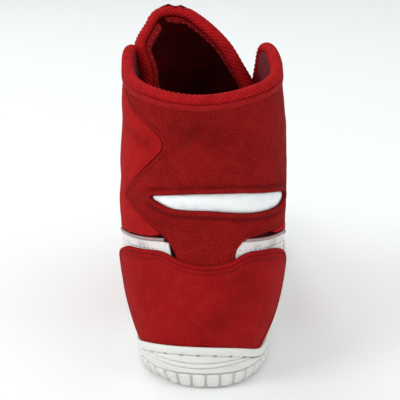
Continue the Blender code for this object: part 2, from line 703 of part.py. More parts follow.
def eyelet_row(name, side, colours):
    """A row of eyelets clenched through the reinforcing tape behind the facing, joined to it."""
    places = eyelet_places(side)
    arcs = eyelet_arcs(side)
    margin = TAPE_MARGIN * np.sign(arcs[0] - arcs[-1])
    run = np.linspace(arcs[0] + margin, arcs[-1] - margin, 2 * len(arcs) + 1)
    near = top_edge(side, run, EYELET_SETBACK - TAPE_WIDTH / 2)
    tape = near + top_edge(side, run, EYELET_SETBACK + TAPE_WIDTH / 2)[::-1]
    bores = [circle(c, 2.2, 8) for c in places]
    row = wrapped_panel(name, tape, TAPE, colours["metal"], None, bores, spacing=12.0)
    u, t = FORM.from_side(places)
    for k, (centre, normal) in enumerate(zip(FORM.point(u, t), FORM.normal(u, t))):
        points, faces = eyelet_ring(centre, normal)
        ring = bpy.data.objects.new(f"{name}_ring_{k}", closed_mesh(f"{name}_ring_{k}", points, faces))
        CUTTERS.objects.link(ring)
        ring.hide_render = True
        ring.display_type = "WIRE"
        cut(row, ring, "UNION")


def fold_axis(side):
    """A point on the flap's axis and its direction: along the fold, just outside the wall's bulge."""
    (a0, z0), (a1, z1) = mirrored(FOLD, side)
    u, t = FORM.from_side([(a0, z0), ((a0 + a1) / 2, (z0 + z1) / 2), (a1, z1)])
    start, middle, end = FORM.point(u, t)
    out = FORM.normal(u, t)[1]
    along = (end - start) / np.linalg.norm(end - start)
    out -= along * (out @ along)
    out /= np.linalg.norm(out)
    bulge = (middle - (start + end) / 2) @ out
    return (start + end) / 2 + out * (bulge + 0.3), along


def build_facings(colours):
    for side, name in ((1, "lateral"), (-1, "medial")):
        holes = [circle(c, EYELET_HOLE) for c in eyelet_places(side)]
        facing = throat_facing(side)
        wrapped_panel(f"eyestay_{name}", facing, OVERLAY, colours["smooth_red"], None, holes, spacing=7.0)
        eyelet_row(f"eyelets_{name}", side, colours)


def build_flaps(colours):
    for side, name in ((1, "lateral"), (-1, "medial")):
        place, along = fold_axis(side)
        pivot = new_empty(f"flap_axis_{name}", place, along)
        shell = flap_outline(side, RIM_DROP + 2.3)
        lining = flap_outline(side, RIM_DROP + 2.8, FOLD_GAP + 1.1)
        wrapped_panel(f"flap_shell_{name}", shell, SHELL, colours["suede_side"], pivot, spacing=7.0)
        wrapped_panel(f"flap_lining_{name}", lining, LINING, colours["lining"], pivot, spacing=8.0)
        rim_a, _ = meet_top(side, FOLD_GAP, BINDING_RADIUS, front=False)
        throat_a, _ = meet_top(side, FOLD_GAP, BINDING_RADIUS, front=True)
        rim_tube(colours, f"flap_binding_{name}", side * (rim_a + 1.2), side * (throat_a - 2.0), pivot)


# ---------------------------------------------------------------- forefoot

def seam_from_side(side, line):
    """A side-pattern line in forefoot-pattern coordinates."""
    u, t = FORM.from_side(mirrored(line, side))
    along = np.abs(u) * TOP_LENGTH
    return [(a, side * (1 - s) * TOP_WIDTH) for a, s in zip(along, np.clip(t, 0, 1))]


def vamp_outline(toe_station, gap):
    """The vamp from its seam with the quarters to a station near the toe."""
    seam = [(a + gap, z - gap) for a, z in VAMP_SEAM]
    lateral = seam_from_side(1, seam)
    medial = seam_from_side(-1, seam)
    lateral[0] = (lateral[0][0], TOP_WIDTH)
    medial[0] = (medial[0][0], -TOP_WIDTH)
    tip = (RIDGE_START * TOP_LENGTH + 1.5, 0)
    toe = toe_station * TOP_LENGTH
    return lateral + [tip] + medial[::-1] + [(toe, -TOP_WIDTH), (toe + 4, 0), (toe, TOP_WIDTH)]


def build_toe(colours, pivot):
    toe = LAST_STATION * TOP_LENGTH
    cap_start = 7.8 * TOP_LENGTH
    puff_start = 8.4 * TOP_LENGTH
    cap = [(cap_start, TOP_WIDTH), (cap_start + 5, 0), (cap_start, -TOP_WIDTH)]
    cap += [(toe, -TOP_WIDTH), (toe, TOP_WIDTH)]
    puff = [(puff_start, TOP_WIDTH), (puff_start, -TOP_WIDTH), (toe, -TOP_WIDTH), (toe, TOP_WIDTH)]
    wrapped_panel("toe_cap", cap, OVERLAY, colours["suede"], pivot, lay=FORM.from_top, spacing=6.5)
    wrapped_panel("toe_puff", puff, PUFF, colours["board"], pivot, lay=FORM.from_top, spacing=6.5)


def prism(name, profile, half_width=90.0):
    """A cutter: a profile in the YZ plane, extruded across the boot."""
    count = len(profile)
    points = [(x, y, z) for x in (-half_width, half_width) for y, z in profile]
    faces = [tuple(range(count)), tuple(range(2 * count - 1, count - 1, -1))]
    faces += [(k, k + count, (k + 1) % count + count, (k + 1) % count) for k in range(count)]
    cutter = bpy.data.objects.new(name, closed_mesh(name, points, faces))
    CUTTERS.objects.link(cutter)
    cutter.hide_render = True
    cutter.display_type = "WIRE"
    return cutter


def flex_cutters():
    """What each half loses at the ball, where the uppers leave a wedge, the wedge's filling, and what
    the liner's heel loses so that it can lift."""
    lean = tan(radians(FLEX_DEG / 2))
    gap = 0.3
    high, low, far = 130.0, -20.0, 400.0
    spread = (high - BALL_Z) * lean
    start, end = BALL_Y - gap, BALL_Y + gap
    fore = [(start, low), (far, low), (far, high), (start - spread, high), (start, BALL_Z)]
    rear = [(end, low), (end, BALL_Z), (end + spread, high), (-60, high), (-60, low)]
    inner = spread - 0.25
    crease = [(BALL_Y, BALL_Z + 0.25 / lean), (BALL_Y + inner, high), (BALL_Y - inner, high)]
    bevel = (high - SOCKLINER[0]) * tan(radians(FLEX_DEG / 2 + LINER_LIFT_DEG))
    liner = [(start, low), (far, low), (far, high), (start - bevel, high), (start, SOCKLINER[0])]
    prisms = {"fore": fore, "rear": rear, "crease": crease, "liner": liner}
    return {name: prism(f"cutter_{name}", profile) for name, profile in prisms.items()}


def cut(thing, cutter, operation="DIFFERENCE"):
    trim = thing.modifiers.new("trim", "BOOLEAN")
    trim.operation = operation
    trim.solver = "EXACT"
    trim.object = cutter


def build_vamp(colours, pivot, cutters):
    cut_fore, cut_rear = cutters["fore"], cutters["rear"]
    outline = vamp_outline(8.25, SEAM_GAP + 0.2)
    lining = vamp_outline(LAST_STATION, SEAM_GAP + 0.4)
    toe = LAST_STATION * TOP_LENGTH
    lining = lining[:-3] + [(toe, -TOP_WIDTH), (toe, TOP_WIDTH)]
    red = colours["suede_side"]
    cloth = colours["lining"]
    cut(wrapped_panel("vamp_rear", outline, SHELL, red, lay=FORM.from_top), cut_fore)
    cut(wrapped_panel("vamp_fore", outline, SHELL, red, pivot, lay=FORM.from_top), cut_rear)
    crease = wrapped_panel("vamp_crease", outline, SHELL, red, pivot, lay=FORM.from_top)
    cut(crease, cutters["crease"], "INTERSECT")
    cut(wrapped_panel("vamp_lining_rear", lining, LINING, cloth, None, (), FORM.from_top, 10.0), cut_fore)
    cut(wrapped_panel("vamp_lining_fore", lining, LINING, cloth, pivot, (), FORM.from_top, 10.0), cut_rear)


# ---------------------------------------------------------------- sole

def half_stations():
    """Stations round the sole, lateral side first, so that each has a medial twin."""
    half = LAST_STATION * (1 - np.cos(np.linspace(0, pi, SOLE_STEPS + 1))) / 2
    return np.concatenate([half, 2 * LAST_STATION - half[-2:0:-1]])


def corner_inset(u, height):
    """How much the heel's corners are rounded off near the ground, more on the medial side."""
    station = np.where(u > LAST_STATION, u - 2 * LAST_STATION, u)
    lateral = LATERAL_CORNER * np.exp(-(((station - 1.15) / 0.45) ** 2))
    medial = MEDIAL_CORNER * np.exp(-(((station + 0.95) / 0.55) ** 2))
    return (lateral + medial) * np.clip(1 - height / CORNER_HEIGHT, 0, 1)


def sole_ring(offset, height, rear_offset=None):
    """Points round the sole's outline, an offset outside the form's lowest level, at a height."""
    u = half_stations()
    base = FORM.point(u, np.zeros_like(u))
    out = FORM.normal(u, np.full_like(u, 0.03))
    out[:, 2] = 0
    out /= np.linalg.norm(out, axis=1)[:, None]
    shift = np.full_like(u, offset) - corner_inset(u, height)
    if rear_offset is not None:
        back = np.exp(-((np.minimum(u, 2 * LAST_STATION - u) / 0.9) ** 2))
        shift = shift + (rear_offset - offset) * back
    ring = base + out * shift[:, None]
    rise = TOE_SPRING * np.clip((ring[:, 1] - SPRING_START_Y) / (284 - SPRING_START_Y), 0, 1.2) ** 2
    ring[:, 2] = height + rise
    return ring


def rim_ring(offset, share=1.0):
    """Points round the sole's rim, an offset outside the upper, at a share of the rim's height."""
    u = half_stations()
    low = FORM.point(u, np.zeros_like(u))
    height = UPPER_FOOT + (rim_height(low) - UPPER_FOOT) * share
    levels = np.linspace(-0.05, 0.4, 91)
    grid = FORM.point(np.repeat(u, len(levels)), np.tile(levels, len(u)))[:, 2].reshape(len(u), -1)
    t = np.array([np.interp(z, row, levels) for z, row in zip(height, grid)])
    ring = FORM.point(u, t)
    out = FORM.normal(u, t)
    out[:, 2] = 0
    ring += out / np.linalg.norm(out, axis=1)[:, None] * offset
    ring[:, 2] = height
    return ring


def strips(first, flip):
    """Faces across a ring that starts at index first, joining each lateral point to its medial twin."""
    count = 2 * SOLE_STEPS
    faces = []
    for k in range(SOLE_STEPS):
        a, b = first + k, first + k + 1
        c, d = first + (count - k - 1) % count, first + (count - k) % count
        face = [a, b, c, d]
        face = [f for i, f in enumerate(face) if f not in face[:i]]
        faces.append(tuple(face[::-1] if flip else face))
    return faces


def ring_solid(name, rings, material, parent=None):
    """A closed solid: rings joined in turn, with strips across the first and the last."""
    count = 2 * SOLE_STEPS
    points = np.concatenate(rings)
    faces = strips(0, True) + strips((len(rings) - 1) * count, False)
    for r in range(len(rings) - 1):
        for k in range(count):
            a, b = r * count + k, r * count + (k + 1) % count
            faces.append((a, b, b + count, a + count))
    return new_object(name, closed_mesh(name, points, faces), material, parent)


def rim_height(ring):
    """Height of the sole's rim: raised round the heel and over the toe."""
    x, y = ring[:, 0], ring[:, 1]
    heel = 12.3 * np.exp(-((y / (21 - 4 * np.tanh(x / 10))) ** 2))
    toe = 9.8 * np.clip((y - 215) / 69, 0, 1) ** 2
    return 13.2 + heel + toe


def outsole(name, material, parent=None):
    """Cup sole: flat tread, rounded lower edge, and a thin rim that laps the upper."""
    rings = [
        sole_ring(0.5, 0.0, rear_offset=-1.5),
        sole_ring(2.6, 2.2, rear_offset=0.6),
        sole_ring(RIM_OUTER, 8.0, rear_offset=2.6),
        sole_ring(RIM_OUTER, 11.5, rear_offset=3.2),
        rim_ring(RIM_OUTER - 0.3),
        rim_ring(RIM_INNER),
        rim_ring(RIM_INNER, 0.0),
        sole_ring(RIM_INNER - 0.2, OUTSOLE_FLOOR),
    ]
    return ring_solid(name, rings, material, parent)


def slab(name, layer, offset, material, parent=None):
    return ring_solid(name, [sole_ring(offset, layer[0]), sole_ring(offset, layer[1])], material, parent)


def build_sole(colours, forefoot, liner, cutters):
    cut_fore, cut_rear = cutters["fore"], cutters["rear"]
    rubber, foam, board, cloth = (colours[k] for k in ("rubber", "foam", "board", "sockliner"))
    cut(outsole("outsole_rear", rubber), cut_fore)
    cut(outsole("outsole_fore", rubber, forefoot), cut_rear)
    cut(slab("midsole_rear", MIDSOLE, 0.8, foam), cut_fore)
    cut(slab("midsole_fore", MIDSOLE, 0.8, foam, forefoot), cut_rear)
    cut(slab("insole_board_rear", BOARD, 0.8, board), cut_fore)
    cut(slab("insole_board_fore", BOARD, 0.8, board, forefoot), cut_rear)
    cut(slab("sockliner_heel", SOCKLINER, -6.2, cloth, liner), cutters["liner"])
    cut(slab("sockliner_fore", SOCKLINER, -6.2, cloth, forefoot), cut_rear)


# ---------------------------------------------------------------- tongue

class TonguePath:
    def __init__(self):
        self.rows = np.array(TONGUE, float)
        self.spline = Spline(range(len(TONGUE)), closed=False)

    def point(self, s, w):
        row = self.spline.weights(s) @ self.rows
        ahead = self.spline.weights(s + 0.02) @ self.rows - self.spline.weights(s - 0.02) @ self.rows
        inward = np.stack([np.zeros(len(row)), -ahead[:, 2], ahead[:, 1]], axis=1)
        inward /= np.linalg.norm(inward, axis=1)[:, None]
        centre = row[:, :3].copy()
        centre[:, 0] += w * row[:, 3]
        return centre + inward * (row[:, 4] * w**2)[:, None]

    def half_width(self, s):
        return self.spline.weights(np.atleast_1d(float(s)))[0] @ self.rows[:, 3]

    def normal(self, s, w):
        along = self.point(s + 0.01, w) - self.point(s - 0.01, w)
        across = self.point(s, w + 0.01) - self.point(s, w - 0.01)
        out = np.cross(along, across)
        out /= np.linalg.norm(out, axis=1)[:, None]
        return out * np.where(out[:, 1] < 0, -1, 1)[:, None]


def tongue_sheet(name, path, rows, edge, layer, material, parent=None, columns=8):
    """A layer of the tongue over a run of rows, short of the edge by a margin."""
    points, normals = [], []
    for s in rows:
        reach = 1 - edge * (1 + TONGUE_CROWN * max(0, s - 5)) / path.half_width(s)
        w = np.linspace(-reach, reach, columns + 1)
        along = np.full_like(w, s)
        normals.append(path.normal(along, w))
        points.append(path.point(along, w) + normals[-1] * layer[0])
    points, normals = np.concatenate(points), np.concatenate(normals)
    faces = []
    for r in range(len(rows) - 1):
        for k in range(columns):
            a = r * (columns + 1) + k
            faces.append((a, a + 1, a + columns + 2, a + columns + 1))
    first = points[list(faces[0])]
    facing = np.cross(first[1] - first[0], first[2] - first[0])
    if facing @ normals[0] < 0:
        faces = [f[::-1] for f in faces]
    sheet = new_object(name, mesh_from(name, points, faces), material, parent)
    thicken = sheet.modifiers.new("thickness", "SOLIDIFY")
    thicken.thickness = (layer[0] - layer[1]) * MM
    thicken.offset = -1


def build_tongue(colours, pivot):
    path = TonguePath()
    low_rows = np.linspace(0, TONGUE_SPLIT - TONGUE_GAP, 9)
    high_rows = np.concatenate([np.linspace(TONGUE_SPLIT + TONGUE_GAP, 7, 6), [7.4, 7.8, 8.1]])
    tongue_sheet("tongue_root", path, low_rows, 0.0, (2.4, -2.4), colours["tongue"])
    tongue_sheet("tongue_face", path, high_rows, TONGUE_EDGE, (2.6, 1.5), colours["tongue"], pivot)
    tongue_sheet("tongue_foam", path, high_rows, TONGUE_EDGE, (1.1, -1.1), colours["foam"], pivot)
    tongue_sheet("tongue_lining", path, high_rows, TONGUE_EDGE, (-1.5, -2.6), colours["lining"], pivot)
    rise = np.concatenate([np.linspace(TONGUE_SPLIT + TONGUE_GAP + 0.05, 8, 11), [8.4, 8.8, 9.2, 9.6]])
    s = np.concatenate([rise, [9.98], rise[::-1]])
    w = np.concatenate([np.full_like(rise, -1), [0], np.full_like(rise, 1)])
    edge = path.point(s, w)
    run = np.gradient(edge, axis=0)
    inward = np.cross(path.normal(s, w * 0.98), run)
    inward /= np.linalg.norm(inward, axis=1)[:, None]
    towards = path.point(np.minimum(s, 8), np.zeros_like(s)) - edge
    inward *= np.where(np.sum(inward * towards, axis=1) < 0, -1, 1)[:, None]
    route = edge + inward * BINDING_RADIUS
    tube("tongue_binding", route, BINDING_RADIUS, colours["binding"], pivot)


# ---------------------------------------------------------------- assembly

def build_boot():
    colours = {
        "suede": new_material("suede", (0.22, 0.008, 0.010), 0.85),
        "suede_side": new_material("suede_side", (0.36, 0.016, 0.018), 0.8),
        "smooth_red": new_material("smooth_red", (0.30, 0.012, 0.014), 0.5),
        "binding": new_material("binding", (0.28, 0.010, 0.014), 0.8),
        "tongue": new_material("tongue_cloth", (0.20, 0.008, 0.012), 0.9),
        "lining": new_material("lining_cloth", (0.16, 0.040, 0.045), 0.95),
        "gloss_white": new_material("gloss_white", (0.78, 0.80, 0.80), 0.25),
        "white_leather": new_material("white_leather", (0.72, 0.68, 0.68), 0.45),
        "piping": new_material("piping_grey", (0.45, 0.30, 0.30), 0.6),
        "rubber": new_material("white_rubber", (0.66, 0.66, 0.63), 0.5),
        "foam": new_material("foam", (0.70, 0.66, 0.60), 0.95),
        "board": new_material("fibre_board", (0.50, 0.42, 0.32), 0.9),
        "sockliner": new_material("sockliner_cloth", (0.03, 0.03, 0.035), 0.9),
        "metal": new_material("eyelet_metal", (0.60, 0.60, 0.62), 0.3, 1.0),
    }
    forefoot = new_empty("ball_axis", (0, BALL_Y, BALL_Z), (1, 0, 0))
    liner = new_empty("sockliner_axis", (0, BALL_Y, SOCKLINER[0]), (1, 0, 0))
    tongue = new_empty("tongue_axis", TONGUE_AXIS, (1, 0, 0))
    cutters = flex_cutters()
    build_sole(colours, forefoot, liner, cutters)
    build_heel(colours)
    build_straps(colours)
    build_back(colours)
    build_inner(colours)
    build_facings(colours)
    build_flaps(colours)
    build_vamp(colours, forefoot, cutters)
    build_toe(colours, forefoot)
    build_tongue(colours, tongue)


for leftover in list(bpy.data.objects):
    bpy.data.objects.remove(leftover, do_unlink=True)
BOOT = new_collection("boxing_boot")
CUTTERS = new_collection("cutters")
build_boot()
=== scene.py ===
"""Looks of a boxing boot, seen from behind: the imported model's pieces, redone in finer detail.

Dimensions are in mm from the back of the heel, as in the model's own source; in_metres() puts them in
the frame. The upper is wrapped on the model's form. Its flat patterns are the model's, but for the
zigzag's lower end, the waist, the lateral back seam's foot and the window, which follow later
measurements and lie up to about 3 mm from the model's.
"""
import json
from math import cos, hypot, pi, radians, sin

import bpy
import numpy as np
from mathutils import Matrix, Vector
from mathutils.geometry import delaunay_2d_cdt

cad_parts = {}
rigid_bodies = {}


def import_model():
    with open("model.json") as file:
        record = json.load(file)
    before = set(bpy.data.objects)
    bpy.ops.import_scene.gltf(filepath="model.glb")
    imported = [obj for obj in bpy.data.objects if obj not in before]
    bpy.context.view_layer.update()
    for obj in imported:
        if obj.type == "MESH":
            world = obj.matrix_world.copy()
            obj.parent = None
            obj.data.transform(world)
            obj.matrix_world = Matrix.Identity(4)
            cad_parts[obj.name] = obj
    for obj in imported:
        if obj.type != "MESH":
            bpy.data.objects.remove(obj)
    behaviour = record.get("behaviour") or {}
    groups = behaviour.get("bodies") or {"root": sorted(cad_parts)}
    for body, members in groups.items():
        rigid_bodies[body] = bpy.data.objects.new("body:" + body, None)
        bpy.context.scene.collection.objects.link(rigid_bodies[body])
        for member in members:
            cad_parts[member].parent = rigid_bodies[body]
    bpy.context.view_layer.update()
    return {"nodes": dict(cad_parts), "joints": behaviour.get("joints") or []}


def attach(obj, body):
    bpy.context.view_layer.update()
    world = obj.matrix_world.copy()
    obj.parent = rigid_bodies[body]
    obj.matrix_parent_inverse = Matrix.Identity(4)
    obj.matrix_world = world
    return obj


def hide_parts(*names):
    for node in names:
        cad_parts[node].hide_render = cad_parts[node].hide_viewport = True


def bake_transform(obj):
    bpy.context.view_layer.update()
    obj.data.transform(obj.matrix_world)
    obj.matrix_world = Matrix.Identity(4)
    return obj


for leftover in list(bpy.data.objects):
    bpy.data.objects.remove(leftover, do_unlink=True)
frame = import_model()

MM = 0.001
HEEL_MIDDLE = 45.0

# Joints and the sole, as in the model.
BALL_Y = 205.0
TOE_SPRING = 4.0
SPRING_START_Y = 200.0
RIM_OUTER = 3.8
LATERAL_CORNER = 1.8
MEDIAL_CORNER = 5.0
CORNER_HEIGHT = 12.0
RIM_DROP = 5.4
THROAT_DROP = 1.5
BINDING_RADIUS = 2.5
SEAM_GAP = 0.4
EYELETS_PER_SIDE = 6

# The form. Stations run from the back of the heel to the tip of the toe, levels from the sole's edge
# to the top line: (x on the lateral side, y, z). The medial side shares y and z.
LEVELS = (0.0, 0.15, 0.35, 0.6, 0.8, 1.0)
LATERAL = (
    ((0, 5, 12), (0, 1, 32.5), (0, 1.5, 60), (0, 5.5, 94), (0, 6.5, 121.5), (0, 5, 149)),
    ((22.3, 14.4, 12), (27, 11, 32.5), (29.5, 13, 60), (30, 17.5, 94), (29.5, 18.5, 122.5),
     (28.5, 17, 152.5)),
    ((31.5, 45, 11), (38, 46, 32), (42, 47, 61), (42.8, 50, 96), (41.3, 50, 127), (38.4, 48, 158)),
    ((33, 83, 10), (37, 84, 31), (38.5, 86, 58), (38.5, 90, 96), (36.5, 93, 131), (30.8, 93, 160.3)),
    ((39, 125, 10), (42, 124, 28), (40.5, 121, 52), (35.5, 116, 80), (29, 111, 103), (22, 108, 122)),
    ((42, 165, 10), (44, 163, 22), (41, 159, 40), (32, 154, 58), (23, 149, 70), (13.5, 145, 79)),
    ((43, 200, 10), (44, 199, 21), (37.5, 196, 36), (24.5, 192, 50), (11, 189, 57.5), (-4.5, 186, 60)),
    ((39.5, 235, 10.5), (40, 234, 20), (31.5, 231, 33), (17.5, 228, 43), (5.5, 226, 47), (-6.5, 225, 48.5)),
    ((25, 266, 12), (25, 264.5, 21), (18.5, 261, 31), (8.5, 257, 38), (0, 255, 40.5), (-8, 253.5, 41.5)),
    ((-9, 284, 14), (-9, 284, 23), (-9, 279, 31.5), (-9, 272.5, 36.5), (-9, 268.5, 38.3), (-9, 265, 39)),
)
MEDIAL_X = (
    (0, 0, 0, 0, 0, 0),
    (-21.8, -27, -29.5, -30, -29.5, -28.5),
    (-31, -38, -42, -43, -41.9, -39.9),
    (-30, -35, -37.5, -38.5, -40.5, -40),
    (-33, -37, -37.5, -35, -32, -26),
    (-39.5, -43, -41.5, -34, -25.5, -16.5),
    (-46.5, -49, -45, -34, -20.5, -4.5),
    (-47.5, -48.5, -42, -30, -18.5, -6.5),
    (-38, -38.5, -32.5, -23.5, -15.5, -8),
    (-9, -9, -9, -9, -9, -9),
)
MEDIAL_CORNER_BACK = 6.0
MEDIAL_CORNER_DROP = 1.2
LAST_STATION = 9
RIDGE_START = 6
TOP_LENGTH = 34.0
TOP_WIDTH = 72.0

# Pattern outlines of the upper's side: (distance round the ankle from the heel's centre line,
# lateral positive; height), in mm.
ZIGZAG = [
    (-66, 150), (-50, 145), (-42, 139.5), (-31, 135), (-22, 130.5), (-17.5, 126), (-18.5, 121),
    (-25, 115), (-34, 107), (-49, 94.5), (-36, 89.5), (-26, 85), (-18.5, 80.5),
]
BACK_SEAM_LATERAL = [(60, 78), (62, 90), (63, 104), (69, 122), (66, 140), (63, 152)]
WAIST_MEDIAL = [(-18.5, 80.5), (-15, 77), (-12, 72.5), (-11, 69), (-11, 60)]
WAIST_LATERAL = [(18, 60), (18, 69), (19.3, 73.5), (22, 76.5), (25.5, 78), (31, 78.6), (45, 78.5), (60, 78)]
UNDER_WING = [(49, 78.3), (41, 78.5)]
WINDOW = [
    (-26, 97.5), (-20.5, 95.8), (-14, 93.6), (-7, 93.4), (4.5, 93.4), (11.5, 92.6), (19, 91.5), (27.5, 90.4),
    (40, 89.5), (50, 89.5), (56, 90.8), (58, 93), (54.5, 95.2), (46, 97), (34.5, 99), (21, 101),
    (10, 101.6), (-1.5, 101.6), (-12, 100.5), (-24, 98.8),
]
HEEL_TOP = [
    (-26, 71.5), (-19, 73), (-13, 71), (-7, 68.2), (1, 67), (9, 67), (16, 68.2), (21.5, 71.2), (27, 72),
]
HEEL_LATERAL = [(27, 72), (42, 70), (55, 65.5), (66, 57), (67, 46), (60, 29), (46, 16), (41, 10.5)]
HEEL_MEDIAL = [(-27, 72), (-42, 70), (-55, 64.5), (-64, 57), (-66.5, 45), (-63, 28), (-56, 15), (-54, 10.5)]
STRAP_TOP = [(19, 78), (36, 76), (53, 73.8), (66, 71), (82, 64), (98, 51), (110, 33), (117, 10.5)]
VAMP_SEAM = [(147, 10.5), (151, 28), (164, 44), (188, 54), (214, 57.5)]
FOLD = [(70, 160), (144, 116)]
FOLD_GAP = 1.0
FLAP_CORNER = 111.0
THROAT_END = 214.0
UPPER_FOOT = 10.5
EYELET_SETBACK = 7.5

# The tongue's centre line from the base to the tip: x, y, z, half width, how far the edges curve back.
TONGUE = (
    (-3.5, 184, 50, 12, 3),
    (-1.5, 166, 59, 16, 8),
    (-1, 147, 73, 19, 13),
    (-0.5, 128, 94, 22, 18.5),
    (-0.5, 115, 118, 24, 20.5),
    (-1.5, 108, 139, 26.6, 19.5),
    (-6.9, 104, 152, 24.8, 16),
    (-13, 102.5, 162.5, 22.7, 13),
    (-16.8, 101.5, 171.5, 16.3, 8),
    (-18.9, 101, 176.8, 9.8, 3.5),
    (-18.5, 101, 179.6, 3, 1),
)


class Spline:
    """Weights of a natural or closed cubic spline through values at given knots."""

    def __init__(self, knots, closed):
        self.knots = np.array(knots, float)
        self.closed = closed
        steps = np.diff(self.knots)
        count = len(steps) if closed else len(self.knots)
        left = np.zeros((count, count))
        right = np.zeros((count, count))
        for i in range(count):
            if not closed and i in (0, count - 1):
                left[i, i] = 1.0
                continue
            before, after = steps[i - 1], steps[i]
            left[i, i - 1] += before
            left[i, i] += 2 * (before + after)
            left[i, (i + 1) % count] += after
            right[i, i - 1] += 6 / before
            right[i, i] -= 6 / before + 6 / after
            right[i, (i + 1) % count] += 6 / after
        self.bend = np.linalg.solve(left, right)
        self.count = count

    def weights(self, at):
        at = np.asarray(at, float)
        if self.closed:
            at = np.mod(at, self.knots[-1])
        i = np.clip(np.searchsorted(self.knots, at, side="right") - 1, 0, len(self.knots) - 2)
        step = self.knots[i + 1] - self.knots[i]
        a = (self.knots[i + 1] - at) / step
        b = 1 - a
        j = (i + 1) % self.count
        value = np.eye(self.count)
        near = a[:, None] * value[i] + b[:, None] * value[j]
        curve_a = ((a**3 - a) * step**2 / 6)[:, None] * self.bend[i]
        curve_b = ((b**3 - b) * step**2 / 6)[:, None] * self.bend[j]
        return near + curve_a + curve_b


class Form:
    """The smooth outer shape of the upper: point(u, t), u the station round the boot, t the level."""

    def __init__(self):
        lateral = np.array(LATERAL, float)
        medial = lateral.copy()
        medial[:, :, 0] = MEDIAL_X
        medial[3, 5, 1] -= MEDIAL_CORNER_BACK
        medial[3, 5, 2] -= MEDIAL_CORNER_DROP
        lateral_rows = self.past_top(lateral, medial)
        medial_rows = self.past_top(medial, lateral)
        self.net = np.concatenate([lateral_rows, medial_rows[LAST_STATION - 1:0:-1]])
        self.round = Spline(range(2 * LAST_STATION + 1), closed=True)
        self.level = Spline(LEVELS + (1.2, 1.4), closed=False)
        stations = np.linspace(-LAST_STATION, LAST_STATION, 1441)
        middle = self.point(stations, np.full_like(stations, 0.6))
        arc = np.concatenate([[0], np.cumsum(np.linalg.norm(np.diff(middle, axis=0), axis=1))])
        self.arc_stations = stations
        self.arc = arc - np.interp(0, stations, arc)
        self.table_step = 1.5
        self.table_arcs = np.arange(self.arc[0], self.arc[-1], self.table_step)
        self.table_levels = np.linspace(-0.1, 1.15, 126)
        columns = np.repeat(self.station(self.table_arcs), len(self.table_levels))
        rows = np.tile(self.table_levels, len(self.table_arcs))
        table = self.point(columns, rows)[:, 2].reshape(len(self.table_arcs), -1)
        self.table = np.maximum.accumulate(table + self.table_levels * 1e-6, axis=1)

    @staticmethod
    def past_top(own, other):
        """Two more levels past the top line: over the ridge on the forefoot, straight on elsewhere."""
        rows = np.zeros((len(own), 8, 3))
        rows[:, :6] = own
        rows[:, 6] = 2 * own[:, 5] - own[:, 4]
        rows[:, 7] = 3 * own[:, 5] - 2 * own[:, 4]
        rows[RIDGE_START:, 6] = other[RIDGE_START:, 4]
        rows[RIDGE_START:, 7] = other[RIDGE_START:, 3]
        return rows

    def point(self, u, t):
        return np.einsum("ni,nj,ijc->nc", self.round.weights(u), self.level.weights(t), self.net)

    def normal(self, u, t):
        """The outward normal, the mean of two nearby ones, since the toe's tip is a pole of the form."""
        step, apart = 0.002, 0.03
        total = 0
        for near in (u - apart, u + apart):
            along = self.point(near + step, t) - self.point(near - step, t)
            upward = self.point(near, t + step) - self.point(near, t - step)
            out = np.cross(along, upward)
            total = total + out / np.linalg.norm(out, axis=1)[:, None]
        return total / np.linalg.norm(total, axis=1)[:, None]

    def station(self, arc):
        """Station at a distance round the ankle from the heel's centre line, lateral positive."""
        return np.interp(arc, self.arc, self.arc_stations)

    def from_side(self, pattern):
        """(u, t) of side-pattern points (distance round from the heel's centre line, height)."""
        pattern = np.asarray(pattern, float)
        column = np.clip((pattern[:, 0] - self.table_arcs[0]) / self.table_step, 0, len(self.table) - 1.001)
        low = column.astype(int)
        share = (column - low)[:, None]
        heights = self.table[low] * (1 - share) + self.table[low + 1] * share
        row = np.clip(np.sum(heights < pattern[:, 1:2], axis=1), 1, len(self.table_levels) - 1)
        below = np.take_along_axis(heights, row[:, None] - 1, 1)[:, 0]
        above = np.take_along_axis(heights, row[:, None], 1)[:, 0]
        part = np.clip((pattern[:, 1] - below) / np.maximum(above - below, 1e-9), 0, 1)
        t = self.table_levels[row - 1] + part * (self.table_levels[1] - self.table_levels[0])
        return self.station(pattern[:, 0]), t

    def from_top(self, pattern):
        """(u, t) of forefoot-pattern points (TOP_LENGTH x station, TOP_WIDTH x how far from the ridge)."""
        pattern = np.asarray(pattern, float)
        along = pattern[:, 0] / TOP_LENGTH
        across = pattern[:, 1] / TOP_WIDTH
        u = np.where(across >= 0, along, 2 * LAST_STATION - along)
        return u, 1 - np.abs(across)

    def top_line(self, arc, drop=0.0):
        """Height of the top line at a distance round the ankle, less a drop."""
        u = self.station(np.atleast_1d(np.asarray(arc, float)))
        return self.point(u, np.ones_like(u))[:, 2] - drop


FORM = Form()


# ---------------------------------------------------------------- scene helpers

def in_metres(points):
    """Points in mm from the back of the heel, as metres from the origin."""
    return (np.asarray(points, float) - (0, HEEL_MIDDLE, 0)) * MM


def resample(points, spacing, closed=False):
    """Points along a line with no step longer than spacing. The given corners stay."""
    points = [tuple(map(float, p)) for p in points]
    ends = points[1:] + ([points[0]] if closed else [])
    line = []
    for start, end in zip(points, ends):
        steps = max(1, int(np.ceil(hypot(end[0] - start[0], end[1] - start[1]) / spacing)))
        for k in range(steps):
            f = k / steps
            line.append((start[0] + f * (end[0] - start[0]), start[1] + f * (end[1] - start[1])))
    if not closed:
        line.append(points[-1])
    return line


